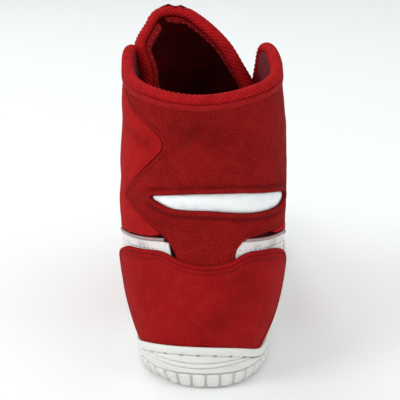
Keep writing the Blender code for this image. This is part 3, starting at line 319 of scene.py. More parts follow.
def smooth_line(points, steps=3):
    """A Catmull-Rom curve through the points."""
    p = [np.array(q, float) for q in points]
    p = [2 * p[0] - p[1]] + p + [2 * p[-1] - p[-2]]
    line = []
    for k in range(1, len(p) - 2):
        for f in np.arange(steps) / steps:
            line.append(
                0.5 * (2 * p[k] + (p[k + 1] - p[k - 1]) * f
                       + (2 * p[k - 1] - 5 * p[k] + 4 * p[k + 1] - p[k + 2]) * f**2
                       + (3 * p[k] - p[k - 1] - 3 * p[k + 1] + p[k + 2]) * f**3)
            )
    line.append(p[-2])
    return [tuple(q) for q in line]


def inside(points, outline):
    """Which points lie inside a closed outline."""
    x, y = np.asarray(points, float).T
    found = np.zeros(len(x), bool)
    for (x0, y0), (x1, y1) in zip(outline, outline[1:] + outline[:1]):
        crosses = (y0 > y) != (y1 > y)
        run = (x1 - x0) * (y - y0) / ((y1 - y0) if y1 != y0 else 1.0) + x0
        found ^= crosses & (x < run)
    return found


def distance_to(points, outline):
    """Distance from each point to a closed outline."""
    points = np.asarray(points, float)
    best = np.full(len(points), 1e9)
    for start, end in zip(outline, outline[1:] + outline[:1]):
        a, b = np.array(start), np.array(end)
        run = b - a
        f = np.clip(((points - a) @ run) / max(run @ run, 1e-12), 0, 1)
        best = np.minimum(best, np.linalg.norm(points - a - f[:, None] * run, axis=1))
    return best


def inset(outline, distance):
    """A closed outline moved inwards by mitred edges, for seam gaps and overlaps."""
    ahead = outline[1:] + outline[:1]
    p = np.array([a for a, b in zip(outline, ahead) if hypot(a[0] - b[0], a[1] - b[1]) > 0.05], float)
    area = 0.5 * np.sum(p[:, 0] * np.roll(p[:, 1], -1) - np.roll(p[:, 0], -1) * p[:, 1])
    run = np.roll(p, -1, axis=0) - p
    run /= np.linalg.norm(run, axis=1)[:, None]
    side = np.stack([-run[:, 1], run[:, 0]], axis=1) * np.sign(area)
    before = np.roll(side, 1, axis=0)
    mitre = before + side
    mitre /= np.maximum(np.sum(mitre * side, axis=1), 0.4)[:, None]
    return [tuple(q) for q in p + mitre * distance]


def circle(centre, radius, sides=10):
    """The side-pattern outline that becomes a true circle on the form."""
    step = 0.5
    nearby = [(centre[0] + step, centre[1]), (centre[0] - step, centre[1]),
              (centre[0], centre[1] + step), (centre[0], centre[1] - step)]
    east, west, north, south = FORM.point(*FORM.from_side(nearby))
    stretch = np.stack([east - west, north - south], axis=1) / (2 * step)
    flatten = np.linalg.inv(np.linalg.qr(stretch)[1])
    turns = [2 * pi * k / sides for k in range(sides)]
    return [tuple(np.array(centre) + flatten @ (radius * cos(a), radius * sin(a))) for a in turns]


def mirrored(line, side):
    """A lateral outline, or its medial twin."""
    return [(side * a, z) for a, z in line]


def fold_line(side, gap):
    """The fold of the collar's front corner, moved by a gap towards the front."""
    (a0, z0), (a1, z1) = FOLD
    length = hypot(a1 - a0, z1 - z0)
    across = ((z0 - z1) / length, (a1 - a0) / length)
    shifted = [(a + gap * across[0], z + gap * across[1]) for a, z in FOLD]
    return mirrored(shifted, side)


def rim_line(start, end, drop, spacing=7.0):
    """Points along the top line from one distance round to another."""
    arcs = np.linspace(start, end, max(2, int(abs(end - start) / spacing) + 1))
    return [(a, z) for a, z in zip(arcs, FORM.top_line(arcs, drop))]


def meet_top(side, gap, drop, front):
    """Where the fold line meets the top line: at the rim, or at the throat when front is set."""
    (a0, z0), (a1, z1) = [(side * a, z) for a, z in fold_line(side, gap)]
    steps = np.linspace(-0.4, 1.5, 400)
    arcs = a0 + steps * (a1 - a0)
    heights = z0 + steps * (z1 - z0)
    above = heights - FORM.top_line(side * arcs, drop)
    turns = [k for k in range(len(steps) - 1) if above[k] * above[k + 1] <= 0]
    k = turns[-1] if front else turns[0]
    return float(arcs[k]), float(heights[k])


def side_bottom(start, end, spacing=12.0):
    """Points along the lower edge of the upper's side pattern."""
    steps = max(2, int(abs(end - start) / spacing) + 1)
    return [(a, UPPER_FOOT) for a in np.linspace(start, end, steps)]


def eyelet_arcs(side):
    """Where the eyelets of one row stand along the top line."""
    throat_a, _ = meet_top(side, 0.0, 0.0, front=True)
    return np.linspace(THROAT_END - 12.0, throat_a + 7.0, EYELETS_PER_SIDE)


def eyelet_places(side):
    """Pattern points of one row of eyelets, set back from the edge."""
    return top_edge(side, eyelet_arcs(side), EYELET_SETBACK)


def beside(line, distance):
    """A line of points moved to its left by a distance."""
    p = np.array(line, float)
    run = np.gradient(p, axis=0)
    run /= np.linalg.norm(run, axis=1)[:, None]
    return [tuple(q) for q in p + distance * np.stack([-run[:, 1], run[:, 0]], axis=1)]


def top_edge(side, arcs, setback):
    """Points of the top line, moved into the upper by a true distance on the form."""
    arcs = np.asarray(arcs, float)
    edge = np.stack([arcs, FORM.top_line(side * arcs)], axis=1)
    slope = (FORM.top_line(side * (arcs + 1)) - FORM.top_line(side * (arcs - 1))) / 2
    inward = np.stack([slope, -np.ones_like(slope)], axis=1) / np.hypot(1, slope)[:, None]
    start = FORM.point(*FORM.from_side(mirrored(edge, side)))
    reach = np.full(len(edge), float(setback))
    for _ in range(3):
        moved = FORM.point(*FORM.from_side(mirrored(edge + inward * reach[:, None], side)))
        reach *= setback / np.linalg.norm(moved - start, axis=1)
    return mirrored(edge + inward * reach[:, None], side)


def seam_from_side(side, line):
    """A side-pattern line in forefoot-pattern coordinates."""
    u, t = FORM.from_side(mirrored(line, side))
    along = np.abs(u) * TOP_LENGTH
    return [(a, side * (1 - s) * TOP_WIDTH) for a, s in zip(along, np.clip(t, 0, 1))]


def vamp_outline(toe_station, gap):
    """The vamp from its seam with the quarters to a station near the toe."""
    seam = [(a + gap, z - gap) for a, z in VAMP_SEAM]
    lateral = seam_from_side(1, seam)
    medial = seam_from_side(-1, seam)
    lateral[0] = (lateral[0][0], TOP_WIDTH)
    medial[0] = (medial[0][0], -TOP_WIDTH)
    tip = (RIDGE_START * TOP_LENGTH + 1.5, 0)
    toe = toe_station * TOP_LENGTH
    return lateral + [tip] + medial[::-1] + [(toe, -TOP_WIDTH), (toe + 4, 0), (toe, TOP_WIDTH)]


class TonguePath:
    def __init__(self):
        self.rows = np.array(TONGUE, float)
        self.spline = Spline(range(len(TONGUE)), closed=False)

    def point(self, s, w):
        row = self.spline.weights(s) @ self.rows
        ahead = self.spline.weights(s + 0.02) @ self.rows - self.spline.weights(s - 0.02) @ self.rows
        inward = np.stack([np.zeros(len(row)), -ahead[:, 2], ahead[:, 1]], axis=1)
        inward /= np.linalg.norm(inward, axis=1)[:, None]
        centre = row[:, :3].copy()
        centre[:, 0] += w * row[:, 3]
        return centre + inward * (row[:, 4] * w**2)[:, None]

    def half_width(self, s):
        return self.spline.weights(np.atleast_1d(float(s)))[0] @ self.rows[:, 3]

    def normal(self, s, w):
        along = self.point(s + 0.01, w) - self.point(s - 0.01, w)
        across = self.point(s, w + 0.01) - self.point(s, w - 0.01)
        out = np.cross(along, across)
        out /= np.linalg.norm(out, axis=1)[:, None]
        return out * np.where(out[:, 1] < 0, -1, 1)[:, None]


def rim_height(ring):
    """Height of the sole's rim: raised round the heel and over the toe."""
    x, y = ring[:, 0], ring[:, 1]
    heel = 12.3 * np.exp(-((y / (21 - 4 * np.tanh(x / 10))) ** 2))
    toe = 9.8 * np.clip((y - 215) / 69, 0, 1) ** 2
    return 13.2 + heel + toe


# ---------------------------------------------------------------- dense geometry

SIDE = {"lateral": 1, "medial": -1}


class Piece:
    """Points in mm, faces, UVs in mm, a painted-shade value for each point and material numbers, made into
    one object.
    """

    def __init__(self, name):
        self.name = name
        self.points, self.uv, self.painted_shading = [], [], []
        self.faces, self.slots = [], []
        self.count = 0

    def add(self, points, faces, uv=None, painted_shading=None, slot=0):
        points = np.asarray(points, float)
        self.points.append(points)
        self.uv.append(np.zeros((len(points), 2)) if uv is None else np.asarray(uv, float))
        self.painted_shading.append(np.ones(len(points)) if painted_shading is None else np.asarray(painted_shading, float))
        self.faces += [tuple(int(i) + self.count for i in f) for f in faces]
        self.slots += [slot] * len(faces)
        self.count += len(points)

    def make(self, materials):
        points = np.concatenate(self.points)
        mesh = bpy.data.meshes.new(self.name)
        mesh.from_pydata(in_metres(points).tolist(), [], self.faces)
        for material in materials:
            mesh.materials.append(material)
        mesh.polygons.foreach_set("material_index", np.array(self.slots, np.int32))
        mesh.polygons.foreach_set("use_smooth", np.ones(len(mesh.polygons), bool))
        corners = np.zeros(len(mesh.loops), np.int32)
        mesh.loops.foreach_get("vertex_index", corners)
        layer = mesh.uv_layers.new(name="Pattern")
        layer.data.foreach_set("uv", np.concatenate(self.uv)[corners].astype(np.float32).ravel())
        # Each point's painted-shade value, by which the materials darken their colour.
        painted_shading = mesh.attributes.new("Tint", "FLOAT", "POINT")
        painted_shading.data.foreach_set("value", np.concatenate(self.painted_shading).astype(np.float32))
        mesh.update()
        thing = bpy.data.objects.new(self.name, mesh)
        bpy.context.scene.collection.objects.link(thing)
        return thing


def bell(x, width):
    """A smooth bump of height 1 at x = 0."""
    return np.exp(-((x / width) ** 2))


def step(x, low, high):
    """0 below low, 1 above high, smooth between."""
    f = np.clip((x - low) / (high - low), 0, 1)
    return f * f * (3 - 2 * f)


def roll(distance, radius):
    """How far a rounded edge falls away at a distance in from it."""
    f = 1 - np.clip(distance / radius, 0, 1)
    return -radius * (1 - np.sqrt(np.maximum(1 - f * f, 0)))


def unit(v):
    return v / np.maximum(np.linalg.norm(v, axis=-1, keepdims=True), 1e-12)


def waves(points, scale, seed):
    """Smooth irregular values between about -1 and 1, from a few sine waves in random directions."""
    spread = np.random.default_rng(seed)
    points = np.asarray(points, float)
    total = np.zeros(len(points))
    for _ in range(7):
        direction = spread.normal(size=points.shape[1])
        direction /= np.linalg.norm(direction)
        total += np.sin(
            points @ direction * 2 * pi / (scale * spread.uniform(0.7, 1.6)) + spread.uniform(0, 6.3)
        )
    return total / 4


def dense_pattern(outline, holes, spacing, edge_rows):
    """Triangles over a flat outline, with extra rows of points along its edges."""
    loops = [resample(outline, min(spacing, 1.6), closed=True)]
    loops += [list(hole) for hole in holes]
    corners = np.array(loops[0])
    low, high = corners.min(0), corners.max(0)
    rows = np.arange(low[1], high[1], spacing * 0.87)
    grid = [
        (x + (k % 2) * spacing / 2, y)
        for k, y in enumerate(rows)
        for x in np.arange(low[0], high[0], spacing)
    ]
    grid = np.array(grid)
    keep = inside(grid, loops[0])
    grid = grid[keep]
    clear = np.min([distance_to(grid, loop) for loop in loops], axis=0)
    for hole in loops[1:]:
        clear[inside(grid, hole)] = 0
    grid = grid[clear > edge_rows[-1] + 0.45 * spacing]
    inner = []
    for number, loop in enumerate(loops):
        for row in edge_rows:
            ring = np.array(inset(loop, row if number == 0 else -row))
            fits = inside(ring, loops[0]) if number == 0 else ~inside(ring, loop)
            near = np.min([distance_to(ring, other) for other in loops], axis=0)
            inner.append(ring[fits & (near > 0.93 * row)])
    points, edges = [], []
    for loop in loops:
        first = len(points)
        points += [tuple(p) for p in loop]
        edges += [(first + k, first + (k + 1) % len(loop)) for k in range(len(loop))]
    for extra in inner + [grid]:
        points += [tuple(p) for p in extra]
    made = delaunay_2d_cdt([Vector(p) for p in points], edges, [], 0, 1e-5)
    flat = np.array([tuple(v) for v in made[0]])
    faces = np.array([f for f in made[2] if len(f) == 3])
    centres = flat[faces].mean(1)
    keep = inside(centres, loops[0])
    for hole in loops[1:]:
        keep &= ~inside(centres, hole)
    return flat, faces[keep], loops


def add_panel(piece, outline, outer, thickness, relief=None, lay=None, spacing=2.4, holes=(), radius=0.8,
              slot=0, edge_rows=(0.25, 0.6, 1.1, 1.8), facing=1, painted_shading=None):
    """A pattern wrapped on the form, its edges rounded over, with a skirt down to its underside.

    relief(pattern points, distance from the edge) gives extra height in mm. facing is -1 on a lining,
    which is seen from inside.
    """
    lay = lay or FORM.from_side
    flat, faces, loops = dense_pattern(outline, holes, spacing, edge_rows)
    u, t = lay(flat)
    normals = FORM.normal(u, t)
    distance = np.min([distance_to(flat, loop) for loop in loops], axis=0)
    extra = np.zeros(len(flat)) if relief is None else relief(flat, distance)
    base = FORM.point(u, t)
    points = base + normals * (outer + facing * (roll(distance, radius) + extra))[:, None]
    corners = points[faces]
    turned = np.cross(corners[:, 1] - corners[:, 0], corners[:, 2] - corners[:, 0])
    if np.sum(turned * normals[faces[:, 0]]) * facing < 0:
        faces = faces[:, ::-1]
    # Painted shade: darker in the relief's hollows and grooves and along the rounded edge.
    shade = 1 + np.clip(extra, -0.5, 0) * 0.7 - 0.35 * bell(distance, 0.25)
    if painted_shading is not None:
        shade = shade * painted_shading(flat)
    piece.add(points, faces, flat, shade, slot)
    under = base + normals * (outer - facing * thickness)
    first = 0
    count = sum(len(loop) for loop in loops)
    skirt_faces = []
    for loop in loops:
        n = len(loop)
        skirt_faces += [
            (first + k, first + (k + 1) % n, count + first + (k + 1) % n, count + first + k) for k in range(n)
        ]
        first += n
    ring = np.concatenate([points[:count], under[:count]])
    # Painted shade: the skirt round the edge is darker.
    piece.add(ring, skirt_faces, np.concatenate([flat[:count], flat[:count]]), np.full(2 * count, 0.6), slot)


def tube_grid(route, normals, girth, radii, caps=True):
    """Rings round a route: radii(along, angle) gives (sideways, outward) reach. Returns points, faces, uv."""
    route = np.asarray(route, float)
    along = np.concatenate([[0], np.cumsum(np.linalg.norm(np.diff(route, axis=0), axis=1))])
    run = unit(np.gradient(route, axis=0))
    out = unit(normals - run * np.sum(normals * run, axis=1)[:, None])
    side = np.cross(run, out)
    angles = 2 * pi * np.arange(girth) / girth
    s, a = np.meshgrid(along, angles, indexing="ij")
    wide, high = radii(s, a)
    rings = (
        route[:, None]
        + side[:, None] * (np.cos(a) * wide)[..., None]
        + out[:, None] * (np.sin(a) * high)[..., None]
    )
    n = len(route)
    faces = [
        (r * girth + k, r * girth + (k + 1) % girth, (r + 1) * girth + (k + 1) % girth, (r + 1) * girth + k)
        for r in range(n - 1)
        for k in range(girth)
    ]
    points = rings.reshape(-1, 3)
    uv = np.stack([s, a * np.mean(wide)], axis=-1).reshape(-1, 2)
    if caps:
        faces.append(tuple(range(girth)))
        faces.append(tuple(range(n * girth - 1, (n - 1) * girth - 1, -1)))
    return points, faces, uv


def spaced(route, spacing):
    """A route's points, evenly spaced, by straight interpolation along it."""
    route = np.asarray(route, float)
    along = np.concatenate([[0], np.cumsum(np.linalg.norm(np.diff(route, axis=0), axis=1))])
    at = np.linspace(0, along[-1], max(2, int(round(along[-1] / spacing)) + 1))
    return np.stack([np.interp(at, along, route[:, k]) for k in range(route.shape[1])], axis=1)


def add_stitches(piece, route, normals, pitch=2.6, length=1.9, width=0.42, slot=1, sink=0.12):
    """A row of stitches lying on a surface along a route of 3-D points."""
    route = np.asarray(route, float)
    along = np.concatenate([[0], np.cumsum(np.linalg.norm(np.diff(route, axis=0), axis=1))])
    starts = np.arange(pitch / 2, along[-1] - length, pitch)
    rings, sides = 5, 6
    f = np.linspace(0, 1, rings)
    arch = np.sqrt(np.maximum(1 - (2 * f - 1) ** 2, 0.0))
    angle = 2 * pi * np.arange(sides) / sides
    for begin in starts:
        at = begin + f * length
        centre = np.stack([np.interp(at, along, route[:, k]) for k in range(3)], axis=1)
        normal = unit(np.stack([np.interp(at, along, normals[:, k]) for k in range(3)], axis=1))
        run = unit(np.gradient(centre, axis=0))
        side = np.cross(run, normal)
        reach = width / 2 * (0.35 + 0.65 * arch)
        lift = (arch - 0.6) * width * 0.9 - sink
        ring = (centre + normal * lift[:, None])[:, None] + (
            side[:, None] * (np.cos(angle) * reach[:, None])[..., None]
            + normal[:, None] * (np.sin(angle) * reach[:, None])[..., None]
        )
        faces = [
            (
                r * sides + k, r * sides + (k + 1) % sides,
                (r + 1) * sides + (k + 1) % sides, (r + 1) * sides + k,
            )
            for r in range(rings - 1)
            for k in range(sides)
        ]
        faces.append(tuple(range(sides - 1, -1, -1)))
        faces.append(tuple(range((rings - 1) * sides, rings * sides)))
        uv = np.stack([np.repeat(at, sides), np.tile(angle, rings) * width / 2], axis=1)
        piece.add(ring.reshape(-1, 3), faces, uv, None, slot)


def on_form(pattern, height, lay=None):
    """3-D points and normals of pattern points at a height outside the form."""
    u, t = (lay or FORM.from_side)(pattern)
    normals = FORM.normal(u, t)
    return FORM.point(u, t) + normals * np.asarray(height).reshape(-1, 1), normals


def stitch_row(piece, pattern, height, lay=None, **how):
    """Stitches along a pattern line, lying on a layer of the upper."""
    line = np.array(resample(pattern, 1.0))
    points, normals = on_form(line, np.full(len(line), height), lay)
    add_stitches(piece, points, normals, **how)


def distance_to_line(points, line):
    """Distance from each point to an open line."""
    points = np.asarray(points, float)
    best = np.full(len(points), 1e9)
    for start, end in zip(line[:-1], line[1:]):
        a, b = np.array(start), np.array(end)
        run = b - a
        f = np.clip(((points - a) @ run) / max(run @ run, 1e-12), 0, 1)
        best = np.minimum(best, np.linalg.norm(points - a - f[:, None] * run, axis=1))
    return best


# ---------------------------------------------------------------- outlines

def varied_edge(side, arcs, setbacks):
    """Points of the top line, each moved into the upper by its own true distance."""
    arcs = np.asarray(arcs, float)
    setbacks = np.broadcast_to(np.asarray(setbacks, float), arcs.shape)
    edge = np.stack([arcs, FORM.top_line(side * arcs)], axis=1)
    slope = (FORM.top_line(side * (arcs + 1)) - FORM.top_line(side * (arcs - 1))) / 2
    inward = np.stack([slope, -np.ones_like(slope)], axis=1) / np.hypot(1, slope)[:, None]
    start = FORM.point(*FORM.from_side(mirrored(edge, side)))
    reach = np.array(setbacks)
    for _ in range(3):
        moved = FORM.point(*FORM.from_side(mirrored(edge + inward * reach[:, None], side)))
        reach *= setbacks / np.maximum(np.linalg.norm(moved - start, axis=1), 1e-6)
    return mirrored(edge + inward * reach[:, None], side)


def free_edge(side, near, far, at_rim, at_throat, spacing=3.0):
    """The upper's free edge from the throat's foot back to a distance round, set back by two amounts."""
    throat_a, _ = meet_top(side, 0.0, THROAT_DROP, front=True)
    arcs = np.linspace(far, near, int(abs(far - near) / spacing) + 1)
    blend = step(arcs, throat_a - 8, throat_a + 4)
    return varied_edge(side, arcs, at_rim + (at_throat - at_rim) * blend)


def beyond_fold(points, side, gap):
    """How far pattern points lie past the fold, towards the collar's front corner."""
    (a0, z0), (a1, z1) = mirrored(fold_line(side, gap), side)
    length = hypot(a1 - a0, z1 - z0)
    points = np.asarray(points, float)
    return ((points[:, 1] - z0) * (a1 - a0) - (side * points[:, 0] - a0) * (z1 - z0)) / length


def corner_outline(side, setback, gap):
    """The collar's front corner, from the fold to the free edge."""
    edge = np.array(varied_edge(side, np.arange(55.0, 170.0, 0.5), setback))
    kept = edge[beyond_fold(edge, side, gap) > 0]
    (a0, z0), (a1, z1) = mirrored(fold_line(side, gap), side)
    ends = []
    for a, z in (kept[-1], kept[0]):
        f = ((side * a - a0) * (a1 - a0) + (z - z0) * (z1 - z0)) / ((a1 - a0) ** 2 + (z1 - z0) ** 2)
        ends.append((side * (a0 + f * (a1 - a0)), z0 + f * (z1 - z0)))
    return [tuple(p) for p in kept[::6]] + ends


def back_outline():
    zigzag = [(ZIGZAG[0][0], float(FORM.top_line(ZIGZAG[0][0], RIM_DROP)[0]))] + ZIGZAG[1:]
    lateral_seam = BACK_SEAM_LATERAL[:-1] + [(63, float(FORM.top_line(63, RIM_DROP)[0]))]
    rim = rim_line(63, ZIGZAG[0][0], RIM_DROP)[1:-1]
    zigzag = smooth_corners(zigzag, 3.0)
    return zigzag[:-1] + WAIST_MEDIAL + WAIST_LATERAL[:-1] + lateral_seam + rim, zigzag, lateral_seam


def smooth_corners(line, reach):
    """A line with its corners rounded by a short quadratic curve."""
    out = [line[0]]
    for before, corner, after in zip(line, line[1:], line[2:]):
        b, c, a = (np.array(q, float) for q in (before, corner, after))
        into = min(reach, np.linalg.norm(c - b) / 2)
        away = min(reach, np.linalg.norm(a - c) / 2)
        p, q = c + (b - c) / np.linalg.norm(b - c) * into, c + (a - c) / np.linalg.norm(a - c) * away
        for f in (0, 0.33, 0.67, 1):
            out.append(tuple((1 - f) ** 2 * p + 2 * f * (1 - f) * c + f**2 * q))
    out.append(line[-1])
    return out


def skin_outline(side, back_seam):
    """Quarter and collar corner in one: back seam, strap, foot, vamp seam, then the free edge back."""
    lower_edge = mirrored(resample(beside(STRAP_TOP, 0.9), 6), side)
    lower_start = max(abs(back_seam[-1][0]) + 1, 21.5)
    lower_edge = [p for p in lower_edge if abs(p[0]) > lower_start]
    free = free_edge(side, abs(back_seam[0][0]), THROAT_END - 1, 3.6, THROAT_DROP)
    outline = back_seam + lower_edge[:-1] + [(side * 119.5, UPPER_FOOT)]
    outline += side_bottom(side * 131, side * 147, 8)[:-1]
    outline += mirrored(VAMP_SEAM, side) + free[:-1]
    return inset(outline, SEAM_GAP / 2)


# ---------------------------------------------------------------- the upper

def finish_piece(piece, materials, body, replaces):
    thing = piece.make(materials)
    if body is not None:
        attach(thing, body)
    if replaces:
        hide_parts(*replaces)
    return thing


def fold_points(side, before=3.0, after=3.0):
    """Two points of the frame, before and after the fold, across its axis."""
    name = "lateral" if side == 1 else "medial"
    joint = next(j for j in frame["joints"] if j["name"] == f"flap_open_{name}")
    place = Vector(joint["pos_m"])
    axis = Vector(joint["axis"]).normalized()
    corner_u = FORM.station(np.array([side * 111.0]))
    corner = Vector(in_metres(FORM.point(corner_u, np.array([1.0])))[0])
    across = corner - place
    across -= axis * across.dot(axis)
    across.normalize()
    return place - across * before * MM, place + across * after * MM


def build_back(looks):
    outline, zigzag, lateral_seam = back_outline()
    hole = smooth_corners(WINDOW + WINDOW[:1], 3.0)[1:-1]
    hole = resample(hole, 1.3, closed=True)

    def relief(flat, distance):
        window = distance_to(flat, hole)
        seam = distance_to_line(flat, zigzag)
        lip = 0.75 * bell(window - 1.2, 1.1) - 0.75 * bell(window - 3.0, 0.55)
        edge = 0.25 * bell(seam - 1.0, 0.8) - 0.35 * bell(seam - 2.2, 0.45)
        waist = -0.35 * bell(distance_to_line(flat, WAIST_LATERAL + [(60, 80)]) - 2.2, 0.5)
        hollows = 0.35 * waves(flat, 38.0, 3) + 0.12 * waves(flat, 11.0, 4)
        return lip + edge + waist + hollows * step(distance, 1, 6)

    piece = Piece("back_panel_suede")
    add_panel(piece, inset(outline, 0.1), 0.45, 1.5, relief, holes=[hole], spacing=2.0, radius=0.9,
              edge_rows=(0.25, 0.6, 1.0, 1.5, 2.1, 2.7, 3.3))
    line = inset(hole, -3.0)
    stitch_row(piece, line + line[:1], -0.15, pitch=2.3, length=1.7, width=0.34, slot=1)
    finish_piece(piece, [looks["suede"], looks["thread"]], "boot", ["back_panel"])

    def pillow(flat, distance):
        puff = 1.7 * (1 - np.exp(-distance / 2.6))
        folds = 0.35 * waves(flat * (1.0, 2.2), 15.0, 8) + 0.18 * waves(flat, 5.5, 9)
        return puff - 0.9 + folds * step(distance, 0.4, 3.0)

    wide = inset(hole, -1.2)
    insert = Piece("window_pillow")
    add_panel(insert, wide, -0.7, 0.8, pillow, spacing=1.3, radius=1.0)
    pad = finish_piece(insert, [looks["gloss_white"]], "boot", ["window_insert"])
    return zigzag, lateral_seam


def build_skins(looks, zigzag, lateral_seam):
    for name, side in SIDE.items():
        back_seam = zigzag if side == -1 else lateral_seam[::-1] + UNDER_WING
        outline = skin_outline(side, back_seam)
        holes = [resample(circle(c, 2.6, 14), 2.0, closed=True) for c in eyelet_places(side)]
        vamp_line = mirrored(VAMP_SEAM, side)

        def relief(flat, distance):
            seam = distance_to_line(flat, vamp_line)
            top = distance_to_line(flat, back_seam)
            groove = -0.4 * bell(seam - 1.8, 0.5) + 0.25 * bell(seam - 0.9, 0.6) - 0.2 * bell(top - 1.6, 0.5)
            along = np.abs(flat[:, 0])
            ankle = -0.9 * bell(along - 118, 15) * bell(flat[:, 1] - 86, 16)
            creases = 0.5 * waves(flat * (0.6, 1.6), 34.0, 12 + side) + 0.16 * waves(flat, 10.0, 5)
            return groove + ankle + creases * step(distance, 1, 7)

        piece = Piece(f"quarter_{name}_suede")
        add_panel(piece, outline, 0.0, 1.2, relief, holes=holes, spacing=2.6, radius=0.8,
                  edge_rows=(0.3, 0.8, 1.4, 2.0))
        for setback in (1.8, 3.6):
            line = beside(mirrored(VAMP_SEAM, 1), setback)[1:-1]
            stitch_row(piece, mirrored(line, side), -0.1, slot=1)
        thing = finish_piece(
            piece, [looks["suede_side"], looks["thread"]], None,
            [f"quarter_{name}", f"flap_shell_{name}"]
        )
        start, end = fold_points(side)
        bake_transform(thing)
        build_facing(looks, name, side)


def build_facing(looks, name, side):
    """The smooth strip along the free edge, from the throat's foot to the collar's front corner."""
    width = 14.0
    arcs_far = THROAT_END - 3
    corner = FLAP_CORNER - 2.0
    throat_a, _ = meet_top(side, 0.0, THROAT_DROP, front=True)
    arcs = np.linspace(arcs_far, corner, 40)
    blend = step(arcs, throat_a - 8, throat_a + 4)
    edge = varied_edge(side, arcs, 3.6 + (THROAT_DROP - 3.6) * blend)
    inner = varied_edge(side, arcs[:-3], width + 3.5 * (1 - blend[:-3]))
    outline = edge + [(side * (corner - 12), inner[-1][1] + 6)] + inner[::-1]
    holes = [resample(circle(c, 2.5, 14), 2.0, closed=True) for c in eyelet_places(side)]

    def relief(flat, distance):
        return -0.3 * bell(distance - 2.0, 0.4) + 0.12 * waves(flat, 14.0, 21)

    piece = Piece(f"facing_{name}_leather")
    add_panel(piece, outline, 1.3, 1.0, relief, holes=holes, spacing=1.9, radius=0.6,
              edge_rows=(0.25, 0.7, 1.3, 2.0, 2.6))
    line = inset(outline, 2.0)
    stitch_row(piece, line + line[:1], 1.15, slot=1)
    thing = finish_piece(
        piece, [looks["smooth_red"], looks["thread"]], None, [f"eyestay_{name}"]
    )
    start, end = fold_points(side)
    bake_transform(thing)
    rings = Piece(f"eyelets_{name}_metal")
    centres, normals = on_form(eyelet_places(side), np.zeros(EYELETS_PER_SIDE))
    for centre, normal in zip(centres, normals):
        add_eyelet(rings, centre, normal)
    finish_piece(rings, [looks["metal"]], "boot", [f"eyelets_{name}"])


def add_eyelet(piece, centre, normal, sides=28):
    """A pressed ring with a rolled flange outside, and a clenched edge inside."""
    profile = [(1.9, -5.6), (2.4, -5.9), (3.0, -5.7), (3.1, -5.4), (2.5, -5.2), (2.35, -1.0), (2.4, 1.2),
               (3.9, 1.25), (4.1, 1.5), (4.0, 1.85), (3.5, 2.15), (2.9, 2.25), (2.3, 2.0), (2.0, 1.4),
               (1.85, 0.0)]
    count = len(profile)
    turn = Vector(normal).to_track_quat("Z", "Y").to_matrix()
    points, faces = [], []
    for k in range(sides):
        angle = 2 * pi * k / sides
        for radius, height in profile:
            local = turn @ Vector((radius * cos(angle), radius * sin(angle), height))
            points.append(np.array(centre) + np.array(local))
        for j in range(count):
            a, b = k * count + j, k * count + (j + 1) % count
            ahead = ((k + 1) % sides - k) * count
            faces.append((a, a + ahead, b + ahead, b))
    piece.add(points, faces)


def build_straps(looks):
    for name, side in SIDE.items():
        start = 18.5 if side == 1 else 14.0
        top = (
            [(start, 71.0), (start + 1, 76.6), (start + 5, 77.2)]
            + beside(STRAP_TOP, -0.6)[1:-1]
            + [(116.0, UPPER_FOOT)]
        )
        lower = beside(HEEL_LATERAL if side == 1 else mirrored(HEEL_MEDIAL, -1), -6.0)[2:-1]
        lower = [(lower[-1][0] - 3, UPPER_FOOT)] + lower[::-1] + [(38, 63.5), (start, 62.0)]
        outline = mirrored(top + lower, side)
        top_run = mirrored(STRAP_TOP, side)

        def relief(flat, distance):
            edge = distance_to_line(flat, top_run)
            return -0.55 * bell(edge - 3.4, 0.4) - 0.25 * bell(edge - 7.0, 0.4) + 0.3 * waves(flat, 26.0, 31)

        piece = Piece(f"strap_{name}_leather")
        add_panel(piece, outline, -0.35, 1.0, relief, spacing=2.0, radius=0.6, edge_rows=(0.3, 0.8, 1.4))
        for setback in (4.6, 7.0):
            line = beside(STRAP_TOP, -setback)[:-1]
            stitch_row(piece, mirrored(line, side), -0.45, pitch=3.0, length=2.1, width=0.5, slot=1)
        finish_piece(
            piece, [looks["white_leather"], looks["grey_thread"]], "boot", [f"strap_{name}"],
        )

        first = (23.5, 77.6) if side == 1 else (17.5, 78.2)
        route = smooth_line(mirrored([first] + STRAP_TOP[1:-1] + [(116, 13)], side), 12)
        points, normals = on_form(route, np.full(len(route), -0.1))
        both = spaced(np.concatenate([points, normals], axis=1), 0.8)
        cord = Piece(f"piping_{name}_cloth")
        cord.add(*tube_grid(both[:, :3], both[:, 3:], 12, lambda s, a: (0.72 + 0.04 * np.sin(s * 5), 0.72)))
        finish_piece(cord, [looks["piping"]], "boot", [f"piping_{name}"])


def build_heel(looks):
    foot = side_bottom(HEEL_LATERAL[-1][0], HEEL_MEDIAL[-1][0])[1:-1]
    top = HEEL_MEDIAL[::-1] + HEEL_TOP[1:-1] + HEEL_LATERAL
    outline = smooth_corners(top + foot + top[:1], 4.0)[1:-1]
    top = smooth_corners(top, 4.0)

    def relief(flat, distance):
        edge = distance_to_line(flat, top)
        lip = 0.55 * bell(edge - 1.0, 0.9) - 0.55 * bell(edge - 2.2, 0.45) + 0.2 * bell(edge - 3.2, 0.6)
        groove = -0.5 * bell(edge - 4.4, 0.45)
        shape = 0.35 * waves(flat, 44.0, 41) + 0.1 * waves(flat, 12.0, 42)
        return lip + groove + shape * step(distance, 2, 8)

    piece = Piece("heel_panel_suede")
    add_panel(piece, outline, 1.6, 1.1, relief, spacing=2.0, radius=1.0,
              edge_rows=(0.25, 0.6, 1.0, 1.6, 2.2, 2.8, 3.5, 4.2, 4.8, 5.5))
    row = inset(outline, 4.4)
    row = [p for p in row if p[1] > 14]
    lowest = max(range(len(row)), key=lambda k: hypot(row[k][0] - row[k - 1][0], row[k][1] - row[k - 1][1]))
    stitch_row(piece, row[lowest:] + row[:lowest], 1.15, pitch=2.4, length=1.8, width=0.36, slot=1)
    finish_piece(piece, [looks["suede_heel"], looks["thread"]], "boot", ["heel_panel"])


# ---------------------------------------------------------------- bindings and lining

